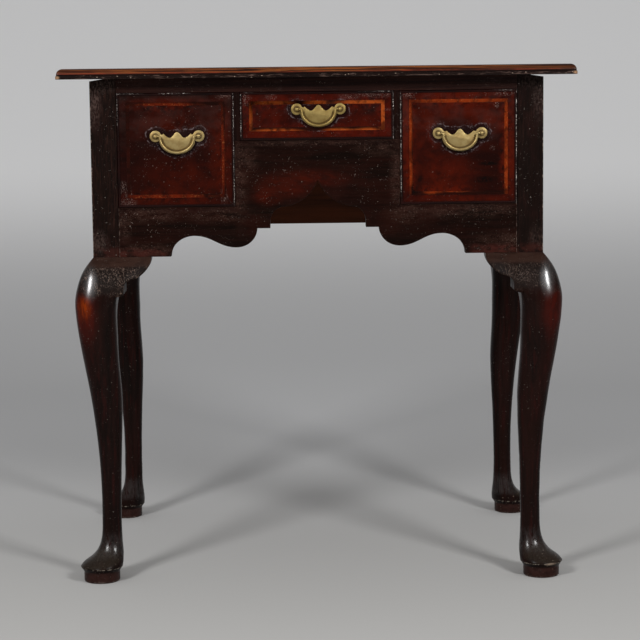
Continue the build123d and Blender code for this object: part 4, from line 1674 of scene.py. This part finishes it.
@dataclass
class Handle:
    """A shaped brass plate with two ball posts and a swinging bail."""

    place_name: str
    middle: Point
    brass: Material
    spacing: float = POST_SPACING
    plate: float = 1.5
    lobe: float = PLATE_LOBE
    ball: float = 3.2
    ball_reach: float = 4.8
    neck: float = 1.7
    shank: float = 2.0
    shank_end: float = 24.5
    bail_radius: float = 1.8
    half_width: float = 22.9
    drop: float = 22.3
    bend: float = 2.2
    end_gap: float = 0.6
    end_radius: float = 1.5
    pin: float = 1.35
    pin_length: float = 2.6
    waist: float = 4.5
    margin: float = 0.6
    lobe_end: float = -128.2

    def half_outline(self) -> np.ndarray:
        """Right half of the plate's edge, from the peak in the middle round to the belly's lowest point.

        A cyma from the peak to the tip, a notch, the round lobe about the post, then the belly, which
        is a quarter of an ellipse.

        Returns:
            Rows of across and up.
        """
        half = self.spacing / 2
        peak, dip, tip = (0.0, 5.9), (10.2, -2.0), (half - 10.8, 3.6)
        notch = (half - 9.5, 2.6)
        crown = np.concatenate([
            [peak],
            hermite(peak, dip, (1, -0.14), (1, 0.05), 14),
            hermite(dip, tip, (1, 0.05), (0.85, 0.75), 10),
            [notch],
        ])
        start = np.pi - np.arcsin(notch[1] / self.lobe)
        turn = np.linspace(start, np.radians(self.lobe_end), 44)[:, None]
        lobe = np.hstack([half + self.lobe * np.cos(turn), self.lobe * np.sin(turn)])
        t = np.linspace(0.085, np.pi / 2, 26)[1:, None]
        wide = self.half_width + self.bail_radius
        deep = self.drop + self.bail_radius + self.margin - self.waist
        belly = np.hstack([wide * np.cos(t), -self.waist - deep * np.sin(t)])
        return np.concatenate([crown, lobe, belly])

    def outline(self) -> np.ndarray:
        """The whole edge as a closed row of points, clockwise from the peak.

        Returns:
            Rows of across and up.
        """
        right = self.half_outline()
        left = right[1:-1][::-1] * (-1, 1)
        return np.concatenate([right, left])

    def make_plate(self) -> None:
        """Plate with a bevelled rim: its edge moved in along its own normals."""
        edge = self.outline()
        tangent = np.roll(edge, -1, 0) - np.roll(edge, 1, 0)
        tangent /= np.linalg.norm(tangent, axis=1, keepdims=True)
        inward = np.stack([tangent[:, 1], -tangent[:, 0]], -1)
        steps = ((0.0, 0.0), (0.0, 0.7), (0.08, 0.95), (0.26, 1.2), (0.5, 1.4), (0.75, self.plate))
        rings = np.stack([
            np.column_stack([edge + inward * step, np.full(len(edge), lift)]) for step, lift in steps
        ])
        shell = closed_shell(on_front(self.middle, rings))
        piece = new_piece(f"{self.place_name}_plate_cast", shell, self.brass, crease=60)
        place(piece, f"{self.place_name}_drawer", "brass", f"{self.place_name}_handle_plate")

    def post_profile(self) -> np.ndarray:
        """Radius and distance out from the drawer's face, from the ball's tip to the shank's end.

        Returns:
            Rows of radius and distance.
        """
        t = np.linspace(0.02, np.pi - np.arcsin(self.neck / self.ball), 20)
        ball = np.column_stack([self.ball * np.sin(t), self.ball_reach + self.ball * np.cos(t)])
        neck = [(2.6, 1.95), (3.0, 1.75), (3.0, 1.5)]
        shank = [(self.shank, 1.5), (self.shank, -self.shank_end + 0.5), (self.shank - 0.4, -self.shank_end)]
        return np.concatenate([ball, neck, shank])

    def make_posts(self) -> None:
        """Two turned posts, as one piece: the profile spun about each post's own axis."""
        profile = self.post_profile()
        angle = np.linspace(0, 2 * np.pi, 28, endpoint=False)
        radius, out = profile[:, :1], np.broadcast_to(profile[:, 1:], (len(profile), len(angle)))
        points, faces = [], []
        for count, side in enumerate((-1, 1)):
            across = side * self.spacing / 2 + radius * np.cos(angle)
            rings = on_front(self.middle, np.stack([across, radius * np.sin(angle), out], -1))
            shell, shell_faces = closed_shell(rings, count * out.size)
            points.append(shell)
            faces += shell_faces
        shell = np.concatenate(points), faces
        piece = new_piece(f"{self.place_name}_posts_turned", shell, self.brass, crease=45)
        place(piece, f"{self.place_name}_drawer", "brass", f"{self.place_name}_handle_posts")

    def bail_path(self) -> np.ndarray:
        """The bail's centre line in the handle's plane: into a bend, half an ellipse, and out again.

        Returns:
            Rows of across and up.
        """
        start = self.spacing / 2 - self.ball - self.end_gap
        tip = self.spacing / 2 - self.ball + self.pin_length
        turn = self.half_width + self.bend
        t = np.linspace(0, np.pi / 2, 8)[1:]
        bend = np.column_stack([turn - self.bend * np.sin(t), -self.bend * (1 - np.cos(t))])
        u = np.linspace(0, np.pi / 2, 22)[1:]
        deep = self.drop - self.bend
        arc = np.column_stack([self.half_width * np.cos(u), -self.bend - deep * np.sin(u)])
        across = np.array((tip, tip - 0.3, start + 0.25, start, start - 0.5, turn))
        pin = np.column_stack([across, np.zeros_like(across)])
        right = np.concatenate([pin, bend, arc])
        return np.concatenate([right, right[:-1][::-1] * (-1, 1)])

    def make_bail(self) -> None:
        """Bail that is fuller in the middle than at its ends, with a pin into each ball."""
        plan = self.bail_path()
        path = on_front(self.middle, np.column_stack([plan, np.full(len(plan), self.ball_reach)]))
        low = np.clip(-plan[:, 1] / self.drop, 0, 1)
        radii = self.end_radius + (self.bail_radius - self.end_radius) * low**0.6
        ends = np.arange(len(plan))
        ends = np.minimum(ends, ends[::-1])
        radii = np.select([ends == 0, ends <= 2, ends == 3], [self.pin - 0.3, self.pin, 1.45], radii)
        rings = swept_tube(path, radii, np.array([0.0, 1.0, 0.0]), 20)
        piece = new_piece(f"{self.place_name}_bail_bent", closed_shell(rings), self.brass, crease=50)
        place(piece, f"{self.place_name}_bail", "brass", f"{self.place_name}_bail")

    def make(self, finishes: Finishes) -> None:
        """Makes the plate, the posts, the bail and the nuts behind.

        Args:
            finishes: the finishes that pieces share.
        """
        self.make_plate()
        self.make_posts()
        self.make_bail()
        Board(
            f"{self.place_name}_handle_nuts", "old_brass", "brass", 0.3, f"{self.place_name}_drawer"
        ).make(finishes)


@dataclass(frozen=True)
class DrawerLook:
    """Tones, worn places and knots of one drawer's front, as places on it in mm."""

    seed: float
    field_tones: tuple[Tint, Tint, Tint]
    band_tones: tuple[Tint, Tint, Tint]
    glow: Tint
    glows: tuple[Spot, ...]
    band_glows: tuple[Spot, ...]
    string_tone: Tint
    lit: tuple[Spot, ...]
    knots: tuple[Spot, ...]
    pale: tuple[Spot, ...]
    bead_wear: tuple[tuple[int, float, float, float], ...]
    dust_and_sheen: float = 0.05
    brass_tones: tuple[Tint, Tint] = ((180, 158, 106), (159, 133, 83))


@dataclass
class DrawerUnit:
    """One drawer: its dovetailed box, veneered front, inlaid string, cock bead and handle."""

    place_name: str
    x0: float
    x1: float
    z0: float
    z1: float
    handle_rise: float
    look: DrawerLook
    play: float = 0.5
    foot_play: float = 0.3
    handle_shift: float = 2.0
    bead: float = 3.0
    bead_proud: float = 1.5
    bead_depth: float = 5.0
    string_inset: float = 12.2
    string_width: float = 4.8
    sheet: float = 0.14
    joint: float = 0.12
    mitre: float = 1.4
    bead_round: float = 0.72
    bead_corner: float = 0.3
    bead_spacing: float = 6.0
    bead_rub: float = 0.12
    bead_rub_length: float = 23.0

    def __post_init__(self) -> None:
        """Takes the play off the opening and finds the handle's middle."""
        self.x0, self.x1 = self.x0 + self.play, self.x1 - self.play
        self.z0, self.z1 = self.z0 + self.foot_play, self.z1 - self.play
        self.middle = ((self.x0 + self.x1) / 2, (self.z0 + self.z1) / 2)
        self.half = ((self.x1 - self.x0) / 2, (self.z1 - self.z0) / 2)
        self.handle = (self.middle[0] + self.handle_shift, self.middle[1] + self.handle_rise)

    @property
    def body(self) -> str:
        """The body that the drawer's pieces ride on."""
        return f"{self.place_name}_drawer"

    def sheet_piece(
        self, name: str, corners: tuple[Point, ...], material: Material, proud: float
    ) -> None:
        """A thin flat sheet on the drawer's face, with its edges rubbed down.

        Args:
            name: the piece's name.
            corners: four (x, z) corners, in order round the sheet.
            material: its finish.
            proud: how far it stands out from the face.
        """
        plan = np.array(corners, float)
        middle = plan.mean(axis=0)
        reach = plan - middle
        sizes = np.linalg.norm(reach, axis=1, keepdims=True)
        steps = np.array(((0.0, -0.6), (0.0, proud - 0.06), (0.12, proud), (0.5, proud)))
        inset, lift = steps[:, :1, None], np.repeat(steps[:, 1:, None], len(plan), axis=1)
        rings = np.concatenate([middle + reach * (1 - inset * self.mitre / sizes), lift], -1)
        piece = new_piece(name, closed_shell(on_front((0, 0), rings)), material, crease=25)
        place(piece, self.body, "drawer_wood")

    def corners(self, inset: float) -> tuple[Point, ...]:
        """Four corners of the front, moved in by an inset."""
        (x, z), a, b = self.middle, self.half[0] - inset, self.half[1] - inset
        return ((x - a, z - b), (x + a, z - b), (x + a, z + b), (x - a, z + b))

    def make_face(self, finishes: Finishes) -> None:
        """Veneer field, four crossband strips with mitred ends, and the string between them.

        Args:
            finishes: the finishes that pieces share.
        """
        look = self.look
        shared = dict(
            dust=(90, 60, 54), roughness=0.26, sheen=0.05, coat=0.05, coat_roughness=0.12,
            knots=look.knots, handle=self.handle, pale=look.pale, glow=look.glow, dust_and_sheen=look.dust_and_sheen,
            lit=look.lit,
        )
        along = VeneerWood(
            f"{self.place_name}_field_veneer", *look.field_tones, Axis.X, 70, 22, warmth=0.5,
            pores=0.12, seed=look.seed, glows=look.glows, **shared,
        ).build()
        cross = {
            axis: VeneerWood(
                f"{self.place_name}_band_veneer_{axis.name.lower()}", *look.band_tones, axis, 26, 9,
                warmth=0.6, pores=0.15, seed=look.seed + 0.5, glows=look.band_glows, **shared,
            ).build()
            for axis in (Axis.X, Axis.Z)
        }
        string = StringWood(
            f"{self.place_name}_string_wood", (24, 7, 4), (38, 10, 5), (48, 13, 6), Axis.X, 30, 5,
            warmth=0.5, sheen=0.05, coat=0.05, seed=look.seed + 5, lit=look.lit, knots=look.knots,
            bright=look.string_tone,
        ).build()
        core = Board(f"{self.place_name}_drawer_front", "rail_wood", "drawer_wood", 0.25, self.body)
        core.make(finishes)
        inner = self.string_inset + self.string_width
        self.sheet_piece(f"{self.place_name}_field", self.corners(inner + self.joint), along, self.sheet)
        outside, inside = self.corners(self.bead + self.joint), self.corners(self.string_inset - self.joint)
        for i, word in enumerate(("lower", "right", "upper", "left")):
            j = (i + 1) % 4
            gap = np.sign(np.array(outside[j]) - np.array(outside[i])) * self.joint
            strip = (
                tuple(np.array(outside[i]) + gap), tuple(np.array(outside[j]) - gap),
                tuple(np.array(inside[j]) - gap), tuple(np.array(inside[i]) + gap),
            )
            axis = Axis.Z if i % 2 == 0 else Axis.X
            self.sheet_piece(f"{self.place_name}_band_{word}", strip, cross[axis], self.sheet * 0.9)
        node = f"{self.place_name}_drawer_stringing"
        place(eased_copy(node, string, 0.12), self.body, "inlay_wood", node)

    def make_bead(self) -> None:
        """Rounded bead carried round the front, standing proud of it."""
        turn = np.linspace(0, np.pi, 9)
        nose = self.bead / 2
        high = nose * self.bead_round
        lift = self.bead_proud - high
        arch = np.column_stack([nose - nose * np.cos(turn), lift + high * np.sin(turn)])[1:-1]
        foot, far_foot = (0.0, -self.bead_depth), (self.bead, -self.bead_depth)
        profile = np.concatenate([[foot, (0.0, lift)], arch, [(self.bead, lift), far_foot]])
        rings = carried_round(self.half, self.bead_corner, profile, self.bead_spacing)
        wear = ripple(rings, self.bead_rub_length, int(self.look.seed * 7) + 90)
        rings[..., 2] -= np.where(rings[..., 2] > lift, self.bead_rub * np.clip(wear, 0, 1), 0)
        rows, columns = rings.shape[:2]
        c = np.arange(columns)
        n, last = (c + 1) % columns, (rows - 1) * columns
        behind = np.stack([c, n, last + n, last + c], -1)
        shell = on_front(self.middle, rings), grid_quads(rows, columns, True).tolist() + behind.tolist()
        wood = BeadWood(
            f"{self.place_name}_bead_wood", (16, 6, 5), (28, 9, 7), (40, 11, 7), Axis.X, 30, 3,
            seed=self.look.seed + 7, sheen=0.12, box=(self.x0, self.x1, self.z0, self.z1),
            sides=self.look.bead_wear,
        ).build()
        piece = new_piece(f"{self.place_name}_bead_moulded", shell, wood, crease=50)
        place(piece, self.body, "bead_wood", f"{self.place_name}_drawer_cockbead")

    def make(self, finishes: Finishes) -> None:
        """Makes every piece of the drawer.

        Args:
            finishes: the finishes that pieces share.
        """
        self.make_face(finishes)
        self.make_bead()
        for part in ("left_side", "right_side", "back", "bottom"):
            node = f"{self.place_name}_drawer_{part}"
            Board(node, "inner_wood", "inner_wood", 0.4, self.body).make(finishes)
        brass = Brass(f"{self.place_name}_handle_brass", *self.look.brass_tones, handle=self.handle).build()
        Handle(self.place_name, self.handle, brass).make(finishes)


# ------------------------------------------------------------------------------- studio
@dataclass
class Studio:
    """A pale floor that curves up into a backdrop, two soft lamps and the camera. In metres."""

    floor_half: float = 7.0
    floor_front: float = -7.0
    backdrop_glow: float = 0.24
    floor_glow: float = 0.04
    far_glow: float = 0.11
    wall_y: float = 5.2
    curve: float = 3.2
    wall_top: float = 4.5
    surround: float = 0.24
    camera_height: float = 0.709
    camera_x: float = -0.030
    camera_y: float = -3.008
    yaw: float = 0.0111
    pitch: float = 0.1230
    roll: float = -0.0110
    lens: float = 115.1
    sensor: float = 36.0
    lamp_out: float = 1.3
    lamp_y: float = -1.95
    lamp_height: float = 1.6
    lamp_size: Point = (0.45, 0.6)
    lamp_power: float = 30.0
    aim_height: float = 0.42
    light_below: float = 0.015
    light_above: float = 0.45

    def make_floor(self) -> None:
        """Floor and backdrop as one sheet: a straight line, a quarter circle and a line carried along X."""
        turn = np.linspace(0, np.pi / 2, 24)
        start = self.wall_y - self.curve
        curve = np.column_stack([start + self.curve * np.sin(turn), self.curve * (1 - np.cos(turn))])
        line = np.concatenate([[(self.floor_front, 0)], curve, [(self.wall_y, self.wall_top)]])
        edges = (-self.floor_half, self.floor_half)
        grid = np.stack([np.column_stack([np.full(len(line), x), line]) for x in edges], axis=1)
        mesh = bpy.data.meshes.new("floor")
        mesh.from_pydata(grid.reshape(-1, 3).tolist(), [], grid_quads(len(line), 2, False).tolist())
        mesh.polygons.foreach_set("use_smooth", np.ones(len(mesh.polygons), bool))
        floor = bpy.data.objects.new("floor", mesh)
        bpy.context.scene.collection.objects.link(floor)
        paper, g = empty_material("studio_paper")
        g.tone = g.blend(g.rise(g.y, -500, 1200), (184, 183, 181), (206, 206, 207))
        glow = g.level(g.rise(g.z, 0, 420), 0.0, self.backdrop_glow)
        glow = g.math("ADD", glow, g.level(g.rise(g.y, 500, 2500), 0.0, self.floor_glow))
        far = g.most(g.rise(g.y, -2100, -4300), g.rise(g.side, 2300, 4600))
        glow = g.math("ADD", glow, g.level(far, 0.0, self.far_glow))
        shader = g.finish(0.9, 0.5, 0.01, Specular_IOR_Level=0.0)
        g.put(shader.inputs["Emission Strength"], g.times(glow, g.seen()))
        mesh.materials.append(paper)

    def make_lamp(self, hand: Hand) -> None:
        """A rectangular soft lamp on one side, which faces the middle of the lowboy.

        Args:
            hand: the side that it stands on.
        """
        light = bpy.data.lights.new(f"lamp_{hand.word}", "AREA")
        light.shape = "RECTANGLE"
        light.size, light.size_y = self.lamp_size
        light.energy = self.lamp_power
        lamp = bpy.data.objects.new(light.name, light)
        lamp.location = (hand.value * self.lamp_out, self.lamp_y, self.lamp_height)
        aim = np.array((0.0, 0.0, self.aim_height)) - np.array(lamp.location)
        lamp.rotation_euler = Matrix(self.facing(aim)).to_euler()
        bpy.context.scene.collection.objects.link(lamp)

    @staticmethod
    def facing(direction: np.ndarray) -> list[list[float]]:
        """Rotation whose -Z axis points along a direction, with Y kept up.

        Args:
            direction: the direction.

        Returns:
            The rotation's three rows.
        """
        back = -direction / np.linalg.norm(direction)
        right = np.cross((0, 0, 1), back)
        right /= np.linalg.norm(right)
        return np.column_stack([right, np.cross(back, right), back]).tolist()

    def make_camera(self) -> None:
        """Camera in front of the lowboy, a little above its top, looking slightly down."""
        data = bpy.data.cameras.new("camera")
        data.lens, data.sensor_width = self.lens, self.sensor
        camera = bpy.data.objects.new("camera", data)
        turn = Matrix.Rotation(np.pi / 2 - self.pitch, 4, "X") @ Matrix.Rotation(self.roll, 4, "Z")
        turn = Matrix.Rotation(-self.yaw, 4, "Z") @ turn
        camera.matrix_world = Matrix.Translation((self.camera_x, self.camera_y, self.camera_height)) @ turn
        bpy.context.scene.collection.objects.link(camera)
        bpy.context.scene.camera = camera

    def make_world(self) -> None:
        """Soft light from above and little from the sides, behind a plain pale surround."""
        world = bpy.data.worlds.new("studio_light")
        bpy.context.scene.world = world
        world.use_nodes = True
        g = Graph(world.node_tree, "Generated", 1.0)
        light = g.level(g.rise(g.z, 0.1, 0.9), self.light_below, self.light_above)
        strength = g.node("Mix", g.seen(), None, light, self.surround).outputs[0]
        background = g.node("Background", (1.0, 1.0, 1.0, 1.0), strength)
        g.node("OutputWorld", background.outputs[0])

    def make(self) -> None:
        """Makes everything that isn't the lowboy."""
        self.make_floor()
        for hand in Hand:
            self.make_lamp(hand)
        self.make_world()
        self.make_camera()
        bpy.context.scene.view_settings.view_transform = "Standard"


LEFT_LOOK = DrawerLook(
    seed=1.0,
    field_tones=((22, 6, 4), (32, 8, 5), (40, 9, 4)),
    band_tones=((22, 6, 4), (32, 8, 5), (40, 9, 4)),
    glow=(66, 15, 4),
    glows=((-165, 560, 60, 26), (-140, 600, 14, 50), (-200, 632, 50, 16)),
    band_glows=((-190, 664, 55, 5), (-122, 600, 6, 70), (-180, 527, 70, 5)),
    string_tone=(96, 27, 7),
    lit=((-205, 658.7, 40, 4), (-130.8, 595, 4, 52), (-206, 535.3, 50, 4)),
    knots=((-147, 535.5, 6, 4.5), (-228, 553, 5, 4), (-122, 547, 3.5, 8), (-159, 548, 5, 3)),
    pale=((-266, 548, 8, 7), (-258, 535, 4, 10), (-259, 527, 9, 6), (-127, 672, 10, 4), (-128, 535, 4, 9)),
    bead_wear=((0, 634, 672, 0.5), (1, 523, 674, 1.0), (2, -274, -240, 0.6), (2, -214, -176, 0.8)),
)
CENTRE_LOOK = DrawerLook(
    seed=2.0,
    field_tones=((23, 5, 3), (34, 7, 4), (44, 9, 4)),
    band_tones=((26, 6, 3), (41, 8, 4), (56, 11, 4)),
    glow=(76, 16, 5),
    glows=((-70, 640, 26, 12), (60, 638, 30, 12), (10, 630, 90, 5)),
    band_glows=((5, 667, 46, 7), (-50, 617, 50, 6), (40, 617, 40, 6), (98, 640, 6, 26), (-60, 667, 26, 5)),
    string_tone=(160, 70, 24),
    dust_and_sheen=0.02,
    brass_tones=((166, 143, 86), (146, 121, 68)),
    lit=(
        (-62, 660.5, 24, 4), (0, 660.5, 14, 4), (62, 660.5, 32, 4), (89.9, 642, 6, 26), (-93, 645, 5, 19),
        (-55, 621.6, 30, 4), (30, 621.6, 20, 4), (70, 621.6, 20, 4),
    ),
    knots=(
        (-81, 648.5, 6, 4), (92, 650.5, 13, 2.8), (76, 650.0, 10, 1.6), (83, 619, 8, 3.5), (96, 641, 6, 2),
    ),
    pale=((96, 650.5, 8, 1.4), (80, 672, 26, 4), (-98, 668, 6, 8), (44, 668, 10, 4), (-62, 670, 6, 4)),
    bead_wear=((0, 618, 674, 0.85), (1, 613, 674, 1.0), (2, 60, 104, 0.5), (2, -104, -90, 0.5)),
)
RIGHT_LOOK = DrawerLook(
    seed=3.0,
    field_tones=((26, 6, 4), (40, 9, 4), (52, 12, 5)),
    band_tones=((28, 6, 4), (40, 9, 5), (56, 13, 5)),
    glow=(80, 19, 5),
    glows=((172, 562, 34, 22), (200, 648, 60, 10), (150, 620, 16, 40), (236, 640, 24, 18)),
    band_glows=((190, 671, 60, 5), (266, 600, 5, 70), (200, 527, 60, 5), (120, 620, 5, 50)),
    string_tone=(130, 46, 12),
    lit=(
        (196, 662, 62, 4), (125.6, 628, 4, 34), (125.6, 566, 4, 24), (258.6, 632, 4, 28), (258.6, 572, 4, 34),
        (158, 539, 12, 4), (190, 539, 16, 2),
    ),
    knots=(
        (128, 542, 10, 8), (258.6, 542.5, 6, 4), (224, 554, 14, 4), (234, 575.5, 13, 2.6),
        (140, 556, 4, 4), (186, 663, 4, 2),
    ),
    pale=((125, 670.5, 8, 4), (256, 671, 12, 3), (239, 597, 3, 3), (245, 656, 3, 4)),
    bead_wear=((0, 535, 674, 0.9), (1, 524, 678, 0.9), (2, 244, 268, 0.5)),
)


def drawer_units() -> list[DrawerUnit]:
    """The three drawers with their openings and the rise of their handles.

    Returns:
        The left, the centre and the right drawer.
    """
    return [
        DrawerUnit("left", -273.0, -113.0, 521.0, 676.5, 19.0, LEFT_LOOK),
        DrawerUnit("centre", -105.0, 105.0, 610.5, 676.5, 9.0, CENTRE_LOOK),
        DrawerUnit("right", 113.0, 273.0, 521.0, 676.5, 19.0, RIGHT_LOOK),
    ]


def main() -> None:
    """Builds the lowboy round its frame, then the studio."""
    logging.basicConfig(level=logging.INFO, format="%(name)s: %(message)s")
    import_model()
    finishes = Finishes()
    TopBoard().make(finishes)
    for hand in Hand:
        for at_back in (False, True):
            CabrioleLeg(hand, at_back).make(finishes)
            KneeEar(hand, at_back, True).make(finishes)
        KneeEar(hand, False, False).make(finishes)
    for board in CASE_BOARDS:
        board.make(finishes)
    for unit in drawer_units():
        unit.make(finishes)
    Studio().make()


if __name__ == "__main__":
    main()
